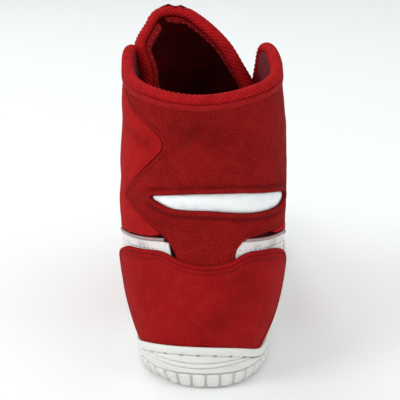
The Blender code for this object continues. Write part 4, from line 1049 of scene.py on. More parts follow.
def rim_route(arcs):
    """Centre, outward normal and downward direction along the top line."""
    u = FORM.station(arcs)
    top = np.ones_like(u)
    edge = FORM.point(u, top)
    normal = FORM.normal(u, top)
    down = unit(np.cross(normal, np.gradient(edge, axis=0)))
    down *= np.where(down[:, 2] > 0, -1, 1)[:, None]
    return edge, normal, down


def ribs(s, a, around, turns=6, along=2.6, depth=0.22):
    """Diagonal ribs, as on twill tape wound round an edge."""
    phase = 2 * pi * s / along + turns * a * around
    wave = np.sin(phase)
    return depth * np.sign(wave) * np.abs(wave) ** 0.6


def add_rim(piece, start, end, slot=0):
    arcs = np.arange(start, end, 1.5 if end > start else -1.5)
    edge, normal, down = rim_route(np.append(arcs, end))
    route = np.concatenate([edge - normal * 2.2 + down * 2.45, normal], axis=1)
    route = spaced(route, 0.45)
    offset = start
    points, faces, uv = tube_grid(
        route[:, :3], route[:, 3:], 34,
        lambda s, a: (2.5 + ribs(s + offset, a, 1), 3.0 + ribs(s + offset, a, 1)),
        caps=False,
    )
    girth = np.tile(2 * pi * np.arange(34) / 34, len(route))
    s = uv[:, 0] + offset
    # Painted shade in the valleys between the binding's ribs.
    shade = 0.95 + 1.0 * ribs(s, girth, 1)
    piece.add(points, faces, uv, shade, slot)
    return points[-34:]


def close_end(piece, ring, towards, slot=0):
    """A rounded end on an open tube."""
    centre = ring.mean(0)
    n = len(ring)
    rings = [ring]
    for f in (0.35, 0.7, 0.95):
        rings.append(centre + (ring - centre) * np.sqrt(1 - f * f) + towards * f * 2.2)
    tip = centre + towards * 2.2
    points = np.concatenate(rings + [[tip]])
    faces = [
        (r * n + k, r * n + (k + 1) % n, (r + 1) * n + (k + 1) % n, (r + 1) * n + k)
        for r in range(3)
        for k in range(n)
    ]
    faces += [(3 * n + k, 3 * n + (k + 1) % n, 4 * n) for k in range(n)]
    # Painted shade over the rounded end.
    piece.add(points, faces, None, np.full(len(points), 0.85), slot)


def add_tape(piece, start, end, slot):
    """The plain lower edge of the binding, stitched down on the shell."""
    arcs = np.linspace(start, end, int(abs(end - start) / 2.5) + 2)
    side = 1
    upper = varied_edge(side, arcs, 4.0)
    lower = varied_edge(side, arcs, 7.3)
    if start < end:
        outline = upper + lower[::-1]
    else:
        outline = lower + upper[::-1]
    add_panel(piece, outline, 0.95, 1.1, None, spacing=1.6, radius=0.9, slot=slot, edge_rows=(0.25, 0.6, 1.0))


def build_bindings(looks):
    folds = {name: meet_top(side, 0.0, BINDING_RADIUS, front=False)[0] for name, side in SIDE.items()}
    materials = [looks["binding"], looks["tape"], looks["thread"]]
    piece = Piece("collar_binding_cloth")
    add_rim(piece, -folds["medial"], folds["lateral"])
    add_tape(piece, -folds["medial"] + 1, folds["lateral"] - 1, 1)
    finish_piece(piece, materials, "boot", ["collar_binding"])
    for name, side in SIDE.items():
        throat_a, _ = meet_top(side, 0.0, BINDING_RADIUS, front=True)
        flap = Piece(f"flap_binding_{name}_cloth")
        end = side * (throat_a - 2.0)
        last = add_rim(flap, side * folds[name], end)
        edge, _, _ = rim_route(np.array([end - side * 2, end]))
        close_end(flap, last, unit(edge[1] - edge[0]))
        add_tape(flap, side * (folds[name] - 1), side * (FLAP_CORNER - 6), 1)
        thing = finish_piece(flap, materials, None, [f"flap_binding_{name}"])
        start, end = fold_points(side)
        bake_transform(thing)


def build_lining(looks):
    throat = {}
    for side in (1, -1):
        arc, _ = meet_top(side, -FOLD_GAP, THROAT_DROP, front=True)
        throat[side] = top_edge(side, np.linspace(THROAT_END - 1, arc, 10), THROAT_DROP)
    rim_a = {side: meet_top(side, -FOLD_GAP, RIM_DROP, front=False)[0] for side in (1, -1)}
    rim = rim_line(rim_a[1], -rim_a[-1], 4.4, 4)
    outline = side_bottom(-147, 147) + VAMP_SEAM[1:] + throat[1] + rim + throat[-1][::-1]
    outline += mirrored(VAMP_SEAM[1:], -1)[::-1]
    places = {side: eyelet_places(side) for side in (1, -1)}
    holes = [resample(circle(c, 2.6, 12), 2.2, closed=True) for side in (1, -1) for c in places[side]]

    def padding(flat, distance):
        below = FORM.top_line(flat[:, 0]) - flat[:, 1]
        roll_up = (
            1.5 * step(below, 4, 10) * (1 - step(below, 22, 32))
            * (1 - step(np.abs(flat[:, 0]), 62, 92))
        )
        seam = -0.5 * bell(below - 31, 0.8) * (1 - step(np.abs(flat[:, 0]), 90, 100))
        return roll_up + seam + 0.15 * waves(flat, 16.0, 51)

    piece = Piece("lining_cloth")
    add_panel(piece, outline, -5.0, 0.8, padding, holes=holes, spacing=3.2, radius=0.5, facing=-1,
              edge_rows=(0.4, 1.2))
    finish_piece(piece, [looks["lining"]], "boot", ["lining_shaft"])
    for name, side in SIDE.items():
        corner = corner_outline(side, 4.2, -FOLD_GAP)
        flap = Piece(f"flap_lining_{name}_cloth")
        add_panel(flap, corner, -5.0, 0.8, lambda flat, distance: 0.12 * waves(flat, 9.0, 53),
                  spacing=2.2, radius=0.5, facing=-1, edge_rows=(0.4, 1.0))
        thing = finish_piece(flap, [looks["lining"]], None, [f"flap_lining_{name}"])
        start, end = fold_points(side)
        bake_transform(thing)


# ---------------------------------------------------------------- forefoot

def ball_blend(thing):
    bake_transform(thing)


def build_vamp(looks):
    outline = vamp_outline(8.25, SEAM_GAP)

    def creases(flat, distance):
        station = flat[:, 0] / TOP_LENGTH
        across = 1 - np.abs(flat[:, 1]) / TOP_WIDTH
        bend = bell(station - 6.35, 0.7)
        folds = -0.5 * np.sin((station + 0.03 * np.sin(flat[:, 1] / 9)) * 19) * bend * step(across, 0.25, 0.7)
        return folds + (0.35 * waves(flat, 30.0, 61) + 0.1 * waves(flat, 9.0, 62)) * step(distance, 1, 6)

    piece = Piece("vamp_suede")
    add_panel(piece, outline, 0.0, 1.2, creases, lay=FORM.from_top, spacing=2.4, radius=0.7)
    ball_blend(finish_piece(piece, [looks["suede_side"]], None, ["vamp_rear", "vamp_fore", "vamp_crease"]))
    toe = LAST_STATION * TOP_LENGTH
    inner = vamp_outline(LAST_STATION, SEAM_GAP + 0.4)
    inner = inner[:-3] + [(toe, -TOP_WIDTH), (toe, TOP_WIDTH)]
    lining = Piece("vamp_lining_cloth")
    add_panel(lining, inner, -5.0, 0.8, None, lay=FORM.from_top, spacing=5.0, radius=0.4, facing=-1,
              edge_rows=(0.6,))
    ball_blend(finish_piece(lining, [looks["lining"]], None, ["vamp_lining_rear", "vamp_lining_fore"]))
    cap_start = 7.8 * TOP_LENGTH
    edge = [(cap_start + 5 * (1 - (w / TOP_WIDTH) ** 2), w) for w in np.linspace(TOP_WIDTH, -TOP_WIDTH, 25)]
    cap = edge + [(toe, -TOP_WIDTH), (toe, TOP_WIDTH)]

    def lip(flat, distance):
        from_edge = distance_to_line(flat, edge)
        return (
            0.3 * bell(from_edge - 1.0, 0.9)
            - 0.4 * bell(from_edge - 2.3, 0.5)
            - 0.3 * bell(from_edge - 5.0, 0.5)
        )

    piece = Piece("toe_cap_suede")
    add_panel(piece, cap, 1.5, 1.1, lip, lay=FORM.from_top, spacing=2.0, radius=0.8,
              edge_rows=(0.3, 0.8, 1.4, 2.0, 2.6))
    for setback in (2.3, 5.0):
        line = [(x + setback, w) for x, w in edge]
        stitch_row(piece, line, 1.25, lay=FORM.from_top, slot=1)
    finish_piece(piece, [looks["suede"], looks["thread"]], "forefoot", ["toe_cap"])


# ---------------------------------------------------------------- tongue

class WrappedTongue(TonguePath):
    """The tongue with its medial edge drawn round inside the medial flap."""

    def point(self, s, w):
        point = np.array(super().point(s, w))
        medial = np.clip(-np.asarray(w), 0, 1) ** 2 * step(s, 4.0, 5.4) * (1 - step(s, 6.6, 8.4))
        point[..., 0] -= (1.5 + 2.5 * (1 - step(s, 5, 6))) * medial
        point[..., 1] -= 11 * medial
        return point


def build_tongue(looks):
    path = WrappedTongue()
    rows = np.concatenate([np.linspace(0, 7, 85), np.linspace(7.05, 9.9, 60)])
    columns = 44
    w = np.sin(np.linspace(-pi / 2, pi / 2, columns + 1)) * 0.5 + np.linspace(-0.5, 0.5, columns + 1)
    piece = Piece("tongue_pad")
    grids = []
    for face in (1, -1):
        points, uvs, shades = [], [], []
        for s in rows:
            along = np.full_like(w, s)
            normal = path.normal(along, w * 0.995)
            half = max(float(path.half_width(s)), 1.5)
            edge = (1 - np.abs(w)) * half
            plump = 2.6 * np.sqrt(np.clip(1 - (1 - np.clip(edge / 3.0, 0, 1)) ** 2, 0, 1))
            x = w * half
            length = s * 20.0
            quilt = (
                -0.7 * (bell(np.abs(x) - 9.0, 0.7) + bell(x, 0.7))
                * step(s, 0.3, 0.6) * (1 - step(s, 6.2, 6.5))
            )
            cross = -0.7 * bell((s - 6.35) * 12, 0.7) * (np.abs(x) < half - 4)
            puff = 0.5 * waves(np.stack([x, np.full_like(x, length)], axis=1), 18.0, 71) * step(edge, 1, 5)
            extra = (quilt + cross) * (face == 1) + puff * (0.7 if face == 1 else 0.35)
            points.append(path.point(along, w) + normal * (face * (plump + extra))[:, None])
            uvs.append(np.stack([x, np.full_like(x, length)], axis=1))
            # Painted shade in the quilting's grooves.
            shades.append(1 + np.clip(extra, -0.6, 0) * 0.5)
        grids.append((np.array(points), np.array(uvs), np.array(shades)))
    n, m = len(rows), columns + 1
    for index, (points, uvs, shades) in enumerate(grids):
        faces = [
            (r * m + k, r * m + k + 1, (r + 1) * m + k + 1, (r + 1) * m + k)
            for r in range(n - 1)
            for k in range(columns)
        ]
        if index == 0:
            faces = [f[::-1] for f in faces]
        piece.add(points.reshape(-1, 3), faces, uvs.reshape(-1, 2), shades.ravel(), index)
    thing = finish_piece(
        piece, [looks["tongue"], looks["tongue_lining"]], None,
        ["tongue_root", "tongue_face", "tongue_foam", "tongue_lining"],
    )
    bind = Piece("tongue_binding_cloth")
    rise = np.linspace(2.6, 9.0, 90)
    left = path.point(rise, np.full(90, -1.0))
    right = path.point(rise, np.full(90, 1.0))[::-1]
    reach = 0.85 * np.linalg.norm(right[0] - left[-1])
    leave = unit((left[-1] - left[-4])[None])[0] * reach
    arrive = unit((right[3] - right[0])[None])[0] * reach
    t = np.linspace(0, 1, 26)[1:-1, None]
    dome = ((2 * t**3 - 3 * t**2 + 1) * left[-1] + (t**3 - 2 * t**2 + t) * leave
            + (3 * t**2 - 2 * t**3) * right[0] + (t**3 - t**2) * arrive)
    edge = np.concatenate([left, dome, right])
    first, last = path.normal(rise, np.full(90, -0.96)), path.normal(rise, np.full(90, 0.96))[::-1]
    normal = unit(np.concatenate([first, first[-1] + t * (last[0] - first[-1]), last]))
    s = np.concatenate([rise, np.full(24, 9.0), rise[::-1]])
    run = np.gradient(edge, axis=0)
    inward = unit(np.cross(normal, run))
    towards = path.point(np.minimum(s, 7.5), np.zeros_like(s)) - edge
    inward *= np.where(np.sum(inward * towards, axis=1) < 0, -1, 1)[:, None]
    route = spaced(np.concatenate([edge + inward * 2.2, normal, inward], axis=1), 0.45)
    centre, out, towards = route[:, :3], unit(route[:, 3:6]), unit(route[:, 6:9])
    points, faces, uv = tube_grid(
        centre, out, 32,
        lambda a, b: (2.45 + ribs(a, b, -1, 7, 2.6, 0.22), 3.3 + ribs(a, b, -1, 7, 2.6, 0.22)),
    )
    angle = np.tile(2 * pi * np.arange(32) / 32, len(route))
    # Painted shade between the binding's ribs.
    bind.add(points, faces, uv, 0.95 + 1.0 * ribs(uv[:, 0], angle, -1, 7, 2.6, 0.22))
    for face in (-1,):
        tape = centre + towards * 4.3 + out * (face * 2.55)
        points, faces, uv = tube_grid(
            tape, out, 14,
            lambda a, b: (2.2 + 0.15 * np.sin(a * 2.1), 0.75 + 0.1 * np.sin(a * 3.7)),
        )
        # Painted shade: the tape is darker all over, as it lies in shade inside the binding.
        bind.add(points, faces, uv, np.full(len(points), 0.8), 1)
        add_stitches(bind, tape + out * (face * 0.7), out * face, pitch=4.1, length=1.3, width=0.5, slot=2)
    binding = finish_piece(
        bind, [looks["binding"], looks["tape"], looks["pale_thread"]], None, ["tongue_binding"],
    )
    for soft in (thing, binding):
        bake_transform(soft)


# ---------------------------------------------------------------- sole

def sole_stations(dense):
    """Stations round the sole, closer together round the heel: lateral side, then medial."""
    heel = np.linspace(0, 2.2, dense)
    rest = np.linspace(2.2, LAST_STATION, int(dense * 1.3))[1:]
    half = np.concatenate([heel, rest])
    return np.concatenate([half, 2 * LAST_STATION - half[-2:0:-1]])


def corner_inset(u, height):
    """How much the heel's corners are rounded off near the ground, more on the medial side."""
    station = np.where(u > LAST_STATION, u - 2 * LAST_STATION, u)
    lateral = LATERAL_CORNER * np.exp(-(((station - 1.15) / 0.45) ** 2))
    medial = MEDIAL_CORNER * np.exp(-(((station + 0.95) / 0.55) ** 2))
    return (lateral + medial) * np.clip(1 - height / CORNER_HEIGHT, 0, 1)


def sole_ring(u, offset, height, rear_offset=None):
    """Points round the sole's outline, an offset outside the form's lowest level, at a height."""
    base = FORM.point(u, np.zeros_like(u))
    out = FORM.normal(u, np.full_like(u, 0.03))
    out[:, 2] = 0
    out = unit(out)
    shift = np.full_like(u, offset) - corner_inset(u, height)
    if rear_offset is not None:
        back = np.exp(-((np.minimum(u, 2 * LAST_STATION - u) / 0.9) ** 2))
        shift = shift + (rear_offset - offset) * back
    ring = base + out * shift[:, None]
    rise = TOE_SPRING * np.clip((ring[:, 1] - SPRING_START_Y) / (284 - SPRING_START_Y), 0, 1.2) ** 2
    ring[:, 2] = height + rise
    return ring


def rim_ring(u, offset, share=1.0):
    """Points round the sole's rim, an offset outside the upper, at a share of the rim's height."""
    low = FORM.point(u, np.zeros_like(u))
    height = UPPER_FOOT + (rim_height(low) - UPPER_FOOT) * share
    levels = np.linspace(-0.05, 0.4, 61)
    grid = FORM.point(np.repeat(u, len(levels)), np.tile(levels, len(u)))[:, 2].reshape(len(u), -1)
    t = np.array([np.interp(z, row, levels) for z, row in zip(height, grid)])
    ring = FORM.point(u, t)
    out = FORM.normal(u, t)
    out[:, 2] = 0
    ring += unit(out) * offset
    ring[:, 2] = height
    return ring


def outsole_wall():
    """The sole's outer wall as a grid: rows from the underside's edge up and over the rim."""
    u = sole_stations(300)
    knots = np.array([
        sole_ring(u, -3.5, 0.0, rear_offset=-5.5),
        sole_ring(u, 0.3, 0.0, rear_offset=-1.7),
        sole_ring(u, 2.7, 2.2, rear_offset=0.7),
        sole_ring(u, RIM_OUTER, 7.5, rear_offset=2.6),
        sole_ring(u, RIM_OUTER, 11.5, rear_offset=3.2),
        rim_ring(u, RIM_OUTER - 0.5),
    ])
    level = np.array([0.0, 1.0, 2.0, 3.0, 3.7, 4.7])
    spline = Spline(level, closed=False)
    v = np.concatenate([
        np.linspace(0, 1, 6)[:-1], np.linspace(1, 2, 9)[:-1],
        np.linspace(2, 3, 17)[:-1], np.linspace(3, 4.7, 42),
    ])
    wall = np.einsum("vk,kuc->vuc", spline.weights(v), knots)
    low = v <= 1.0
    wall[low] = knots[0] + (knots[1] - knots[0]) * v[low][:, None, None]
    across = np.gradient(wall, axis=0)
    along = np.gradient(wall, axis=1)
    along[:, 0] = wall[:, 1] - wall[:, -1]
    along[:, -1] = wall[:, 0] - wall[:, -2]
    out = unit(np.cross(along, across))
    if np.sum(out[-3] * (wall[-3] - wall[-3].mean(0))) < 0:
        out = -out
    return u, v, wall, out


def wall_relief(s, z, rim):
    """Height of the moulded detail on the wall: s round from the heel's centre, z up, rim its height."""
    groove_z = rim - 4.6
    heel = np.abs(s)
    detail = 0.25 * bell(z - (rim - 2.2), 1.8)
    detail -= 0.75 * bell(z - groove_z, 0.38)
    pitch = 7.5
    beat = (s / pitch + 0.5) % 1 * pitch - pitch / 2
    detail -= 1.3 * bell(beat, 0.75) * bell(z - groove_z, 0.6)
    lug_top = 8.4
    for depth_at, half in ((15.4, 30.0), (12.4, 36.0)):
        curve = depth_at + (groove_z - depth_at) * np.clip(heel / half, 0, 1) ** 2
        near = 1 - step(heel, half - 3, half + 1)
        detail -= 0.7 * bell(z - curve, 0.36) * near
        detail += 0.3 * bell(z - curve - 1.3, 0.8) * near
    top_curve = lug_top + 0.9 * bell(s, 26)
    detail -= 0.7 * bell(z - top_curve, 0.4)
    number = (s / 7.2 + 0.5) % 1 * 7.2 - 3.6
    middle = (top_curve - 0.7 + 1.6) / 2
    half_height = (top_curve - 0.9 - 1.6) / 2
    dx = np.abs(number) - (2.75 - 1.3)
    dz = np.abs(z - middle) - np.maximum(half_height - 1.3, 0.2)
    out = np.hypot(np.maximum(dx, 0), np.maximum(dz, 0)) + np.minimum(np.maximum(dx, dz), 0) - 1.3
    lug = 1 - step(out, -0.1, 0.45)
    below = z < top_curve - 0.3
    detail += np.where(below, 0.45 * lug - 0.55 * (1 - lug), 0)
    detail -= np.where(below, 0.25 * bell(out + 1.0, 0.3), 0)
    return detail


def build_outsole(looks):
    u, v, wall, out = outsole_wall()
    rows, columns = wall.shape[:2]
    base = sole_ring(u, 2.0, 8.0)
    steps = np.linalg.norm(np.diff(np.concatenate([base, base[:1]]), axis=0), axis=1)
    along = np.concatenate([[0], np.cumsum(steps)[:-1]])
    total = steps.sum()
    s = np.where(along > total / 2, along - total, along)
    rise = TOE_SPRING * np.clip((base[:, 1] - SPRING_START_Y) / (284 - SPRING_START_Y), 0, 1.2) ** 2
    rim = rim_height(FORM.point(u, np.zeros_like(u))) - rise
    grid_s = np.tile(s, (rows, 1))
    height = wall[..., 2] - rise
    detail = wall_relief(grid_s, height, np.tile(rim, (rows, 1)))
    fade = step(v, 1.15, 1.7)[:, None]
    detail = detail * fade
    # Painted shade in the wall's grooves, dots and round the lugs.
    shade = 1 + 0.5 * np.clip(detail, -0.9, 0)
    wall = wall + out * detail[..., None]
    wall[..., 2] = np.maximum(wall[..., 2], 0)
    crown = [
        rim_ring(u, 3.0) + (0, 0, 0.35),
        rim_ring(u, 2.4) + (0, 0, 0.4),
        rim_ring(u, 1.7) + (0, 0, 0.1),
        rim_ring(u, 1.4, 0.8),
        rim_ring(u, 1.3, 0.1),
    ]
    wall = np.concatenate([wall, np.array(crown)])
    # Painted shade on the crown's last two rows, which run down inside the rim against the upper.
    shade = np.concatenate([shade, np.ones((3, columns)), np.full((2, columns), 0.8)])
    rows = len(wall)
    piece = Piece("outsole_rubber")
    faces = [
        (
            r * columns + k, r * columns + (k + 1) % columns,
            (r + 1) * columns + (k + 1) % columns, (r + 1) * columns + k,
        )
        for r in range(rows - 1)
        for k in range(columns)
    ]
    uv = np.stack([np.tile(s, (rows, 1)), wall[..., 2]], axis=-1)
    piece.add(wall.reshape(-1, 3), faces, uv.reshape(-1, 2), shade.ravel())
    add_tread(piece, u, knots_edge=wall[0])
    thing = finish_piece(piece, [looks["rubber"]], None, ["outsole_rear", "outsole_fore"])
    ball_blend(thing)


def add_tread(piece, u, knots_edge):
    """The recessed underside and its lugs."""
    columns = len(u)
    twin = np.concatenate([[0], np.arange(columns - 1, 0, -1)])
    edge = knots_edge
    middle = (edge + edge[twin]) / 2
    rings = [edge, edge + (middle - edge) * 0.015 + (0, 0, 0.9)]
    shares = (0.04, 0.2, 0.4, 0.6, 0.8, 0.97)
    rings += [edge + (middle - edge) * f + (0, 0, 1.3) for f in shares]
    points = np.array(rings)
    rows = len(rings)
    faces = [
        (
            r * columns + k, r * columns + (k + 1) % columns,
            (r + 1) * columns + (k + 1) % columns, (r + 1) * columns + k,
        )[::-1]
        for r in range(rows - 1)
        for k in range(columns)
    ]
    flat = points.reshape(-1, 3)
    # Painted shade: the recessed underside is darker in from its edge.
    piece.add(flat, faces, flat[:, :2], np.repeat([1, 0.8, 0.72, 0.72, 0.72, 0.72, 0.72, 0.72], columns))
    outline = [tuple(p[:2]) for p in edge[::6]]
    centres = []
    for row, y in enumerate(np.arange(6, 286, 8.2)):
        for x in np.arange(-60, 60, 10.4):
            centres.append((x + (row % 2) * 5.2, y))
    centres = np.array(centres)
    clear = distance_to(centres, outline)
    pivot = np.hypot(centres[:, 0] + 1.5, centres[:, 1] - 222)
    keep = inside(centres, outline) & (clear > 5.6) & (pivot > 25.5)
    angles = 2 * pi * (np.arange(24) + 0.5) / 24
    for x, y in centres[keep]:
        reach = 4.3 / np.maximum(np.abs(np.cos(angles)) ** 3 + np.abs(np.sin(angles)) ** 3, 0.2) ** (1 / 3)
        add_lug(
            piece, (x, y),
            np.stack([np.cos(angles) * reach * 1.05, np.sin(angles) * reach * 0.78], axis=1),
        )
    for inner, outer in ((17.5, 21.0), (10.5, 14.0), (0.0, 7.0)):
        add_ring_lug(piece, (-1.5, 222.0), inner, outer)


def ground(points):
    """Height of the underside's plane under points: the toe springs up."""
    y = points[:, 1]
    return TOE_SPRING * np.clip((y - SPRING_START_Y) / (284 - SPRING_START_Y), 0, 1.2) ** 2


def add_lug(piece, centre, outline):
    n = len(outline)
    rings = []
    for share, height in ((1.0, 1.35), (0.97, 0.35), (0.88, 0.03), (0.45, 0.0), (0.4, 0.25), (0.2, 0.25)):
        ring = np.zeros((n, 3))
        ring[:, :2] = np.array(centre) + outline * share
        ring[:, 2] = height + ground(ring)
        rings.append(ring)
    points = np.concatenate(rings)
    faces = [
        (r * n + k, (r + 1) * n + k, (r + 1) * n + (k + 1) % n, r * n + (k + 1) % n)[::-1]
        for r in range(len(rings) - 1)
        for k in range(n)
    ]
    faces.append(tuple(range((len(rings) - 1) * n, len(rings) * n))[::-1])
    # Painted shade where each lug meets the underside and in its shallow middle.
    piece.add(points, faces, points[:, :2], np.repeat([0.7, 0.95, 1, 1, 0.85, 0.85], n))


def add_ring_lug(piece, centre, inner, outer):
    n = 72
    angles = 2 * pi * np.arange(n) / n
    circle_points = np.stack([np.cos(angles), np.sin(angles)], axis=1)
    profile = [(outer, 1.35), (outer - 0.15, 0.3), (outer - 0.5, 0.0)]
    if inner > 0:
        profile += [(inner + 0.5, 0.0), (inner + 0.15, 0.3), (inner, 1.35)]
    else:
        profile += [(0.6, 0.0)]
    rings = []
    for radius, height in profile:
        ring = np.zeros((n, 3))
        ring[:, :2] = np.array(centre) + circle_points * radius
        ring[:, 2] = height + ground(ring)
        rings.append(ring)
    faces = [
        (r * n + k, (r + 1) * n + k, (r + 1) * n + (k + 1) % n, r * n + (k + 1) % n)[::-1]
        for r in range(len(rings) - 1)
        for k in range(n)
    ]
    if inner == 0:
        faces.append(tuple(range((len(rings) - 1) * n, len(rings) * n))[::-1])
    points = np.concatenate(rings)
    piece.add(points, faces, points[:, :2], None)


def build_sockliner(looks):
    """The removable liner: a thin contoured sheet, cut across at the ball."""
    half = LAST_STATION * (1 - np.cos(np.linspace(0, pi, 90))) / 2
    u = np.concatenate([half, 2 * LAST_STATION - half[-2:0:-1]])
    columns = len(u)
    twin = np.concatenate([[0], np.arange(columns - 1, 0, -1)])
    edge = sole_ring(u, -6.2, 9.4)
    middle = (edge + edge[twin]) / 2
    rings = [edge, edge + (0, 0, 2.6)]
    # Painted shade at the liner's edge.
    shades = [0.7, 0.9]
    for share, height in (
        (0.02, 3.4), (0.06, 3.8), (0.14, 3.75), (0.25, 3.5),
        (0.4, 3.3), (0.6, 3.2), (0.8, 3.2), (0.98, 3.2),
    ):
        rings.append(edge + (middle - edge) * share + (0, 0, height))
        shades.append(1.0)
    points = np.array(rings)
    rows = len(rings)
    faces = np.array([
        (
            r * columns + k, r * columns + (k + 1) % columns,
            (r + 1) * columns + (k + 1) % columns, (r + 1) * columns + k,
        )
        for r in range(rows - 1)
        for k in range(columns)
    ])
    flat = points.reshape(-1, 3)
    middle_y = flat[faces][:, :, 1].mean(1)
    for name, body, node, keep in (
        ("sockliner_heel_cloth", "sockliner", "sockliner_heel", middle_y < BALL_Y),
        ("sockliner_fore_cloth", "forefoot", "sockliner_fore", middle_y >= BALL_Y),
    ):
        moved = flat.copy()
        limit = BALL_Y - 0.3 if body == "sockliner" else BALL_Y + 0.3
        moved[:, 1] = np.minimum(flat[:, 1], limit) if body == "sockliner" else np.maximum(flat[:, 1], limit)
        used = np.unique(faces[keep])
        place = np.full(len(flat), -1)
        place[used] = np.arange(len(used))
        piece = Piece(name)
        piece.add(moved[used], place[faces[keep]], flat[used, :2], np.repeat(shades, columns)[used])
        finish_piece(piece, [looks["sockliner"]], body, [node])


# ---------------------------------------------------------------- materials

class Look:
    """One procedural material, built up in layers over the pattern's millimetres."""

    def __init__(self, name, colour, roughness, coordinates="uv", **sockets):
        self.material = bpy.data.materials.new(name)
        self.material.use_nodes = True
        self.nodes = self.material.node_tree.nodes
        self.links = self.material.node_tree.links
        self.shader = self.nodes["Principled BSDF"]
        self.shader.inputs["Base Color"].default_value = (*colour, 1)
        self.shader.inputs["Roughness"].default_value = roughness
        for socket, value in sockets.items():
            self.shader.inputs[socket.replace("_", " ")].default_value = value
        self.material.diffuse_color = (*colour, 1)
        self.start = (*colour, 1)
        self.colour = None
        self.height = None
        if coordinates == "uv":
            uv = self.nodes.new("ShaderNodeUVMap")
            uv.uv_map = "Pattern"
            self.place = uv.outputs["UV"]
        else:
            place = self.nodes.new("ShaderNodeTexCoord")
            scaled = self.nodes.new("ShaderNodeVectorMath")
            scaled.operation = "SCALE"
            scaled.inputs["Scale"].default_value = 1000.0
            self.links.new(place.outputs["Object"], scaled.inputs[0])
            self.place = scaled.outputs["Vector"]

    def noise(self, size, detail=2.0, stretch=(1.0, 1.0, 1.0)):
        place = self.place
        if stretch != (1.0, 1.0, 1.0):
            moved = self.nodes.new("ShaderNodeVectorMath")
            moved.operation = "MULTIPLY"
            moved.inputs[1].default_value = stretch
            self.links.new(self.place, moved.inputs[0])
            place = moved.outputs["Vector"]
        noise = self.nodes.new("ShaderNodeTexNoise")
        noise.inputs["Scale"].default_value = 1.0 / size
        noise.inputs["Detail"].default_value = detail
        self.links.new(place, noise.inputs["Vector"])
        return noise.outputs["Fac"]

    def threads(self, pitch, direction="X", distortion=0.0):
        wave = self.nodes.new("ShaderNodeTexWave")
        wave.bands_direction = direction
        wave.inputs["Scale"].default_value = 0.314 / pitch
        wave.inputs["Distortion"].default_value = distortion
        wave.inputs["Detail"].default_value = 1.0
        wave.inputs["Detail Scale"].default_value = 0.5
        self.links.new(self.place, wave.inputs["Vector"])
        return wave.outputs["Fac"]

    def ranged(self, value, low, high, to_low=0.0, to_high=1.0):
        node = self.nodes.new("ShaderNodeMapRange")
        node.interpolation_type = "SMOOTHSTEP"
        for socket, number in zip(("From Min", "From Max", "To Min", "To Max"), (low, high, to_low, to_high)):
            node.inputs[socket].default_value = number
        self.links.new(value, node.inputs["Value"])
        return node.outputs["Result"]

    def maths(self, operation, a, b):
        node = self.nodes.new("ShaderNodeMath")
        node.operation = operation
        for socket, value in zip(node.inputs, (a, b)):
            if isinstance(value, (int, float)):
                socket.default_value = value
            else:
                self.links.new(value, socket)
        return node.outputs["Value"]

    def layer(self, factor, colour, blend="MIX"):
        """Another colour over what is there, as much as the factor says."""
        mix = self.nodes.new("ShaderNodeMix")
        mix.data_type = "RGBA"
        mix.blend_type = blend
        self.links.new(factor, mix.inputs[0])
        if self.colour is None:
            mix.inputs[6].default_value = self.start
        else:
            self.links.new(self.colour, mix.inputs[6])
        mix.inputs[7].default_value = (*colour, 1)
        self.colour = mix.outputs[2]
        return self

    def add_painted_shade(self, colour=(0, 0, 0)):
        """Painted shade: darker where the piece's shade value is low, in grooves, seams and turned edges."""
        painted_shading = self.nodes.new("ShaderNodeAttribute")
        painted_shading.attribute_name = "Tint"
        return self.layer(self.ranged(painted_shading.outputs["Fac"], 1.0, 0.4, 0.0, 0.75), colour)

    def rough(self, size, low, high):
        self.links.new(self.ranged(self.noise(size), 0.35, 0.65, low, high), self.shader.inputs["Roughness"])
        return self

    def raised(self, value, amount):
        part = self.maths("MULTIPLY", value, amount)
        self.height = part if self.height is None else self.maths("ADD", self.height, part)
        return self

    def done(self, depth=0.1):
        """Joins the colour and the bump to the shader. depth is in mm."""
        self.links.new(self.colour, self.shader.inputs["Base Color"])
        if self.height is not None:
            bump = self.nodes.new("ShaderNodeBump")
            bump.inputs["Distance"].default_value = depth * MM
            self.links.new(self.height, bump.inputs["Height"])
            self.links.new(bump.outputs["Normal"], self.shader.inputs["Normal"])
        return self.material


def suede(name, colour, light, dark, speck, speck_amount, sheen=0.04):
    look = Look(name, colour, 0.95, Sheen_Weight=sheen, Sheen_Roughness=0.5, Sheen_Tint=(1.0, 0.12, 0.10, 1),
                Specular_IOR_Level=0.06)
    look.layer(look.ranged(look.noise(22.0, 3), 0.4, 0.62, 0, 0.5), dark)
    look.layer(look.ranged(look.noise(6.0, 4), 0.46, 0.66, 0, 0.4), light)
    look.layer(look.ranged(look.noise(0.55, 2), 0.52, 0.68, 0, 0.45), dark)
    look.layer(look.ranged(look.noise(0.5, 1), 0.60, 0.70, 0, speck_amount), speck)
    # Painted shade colour, laid where the piece's shade values are low.
    look.add_painted_shade((0.03, 0.0, 0.001))
    look.rough(3.0, 0.85, 1.0)
    look.raised(look.noise(0.35, 3), 1.0).raised(look.noise(1.6, 2), 0.8)
    return look.done(0.16)


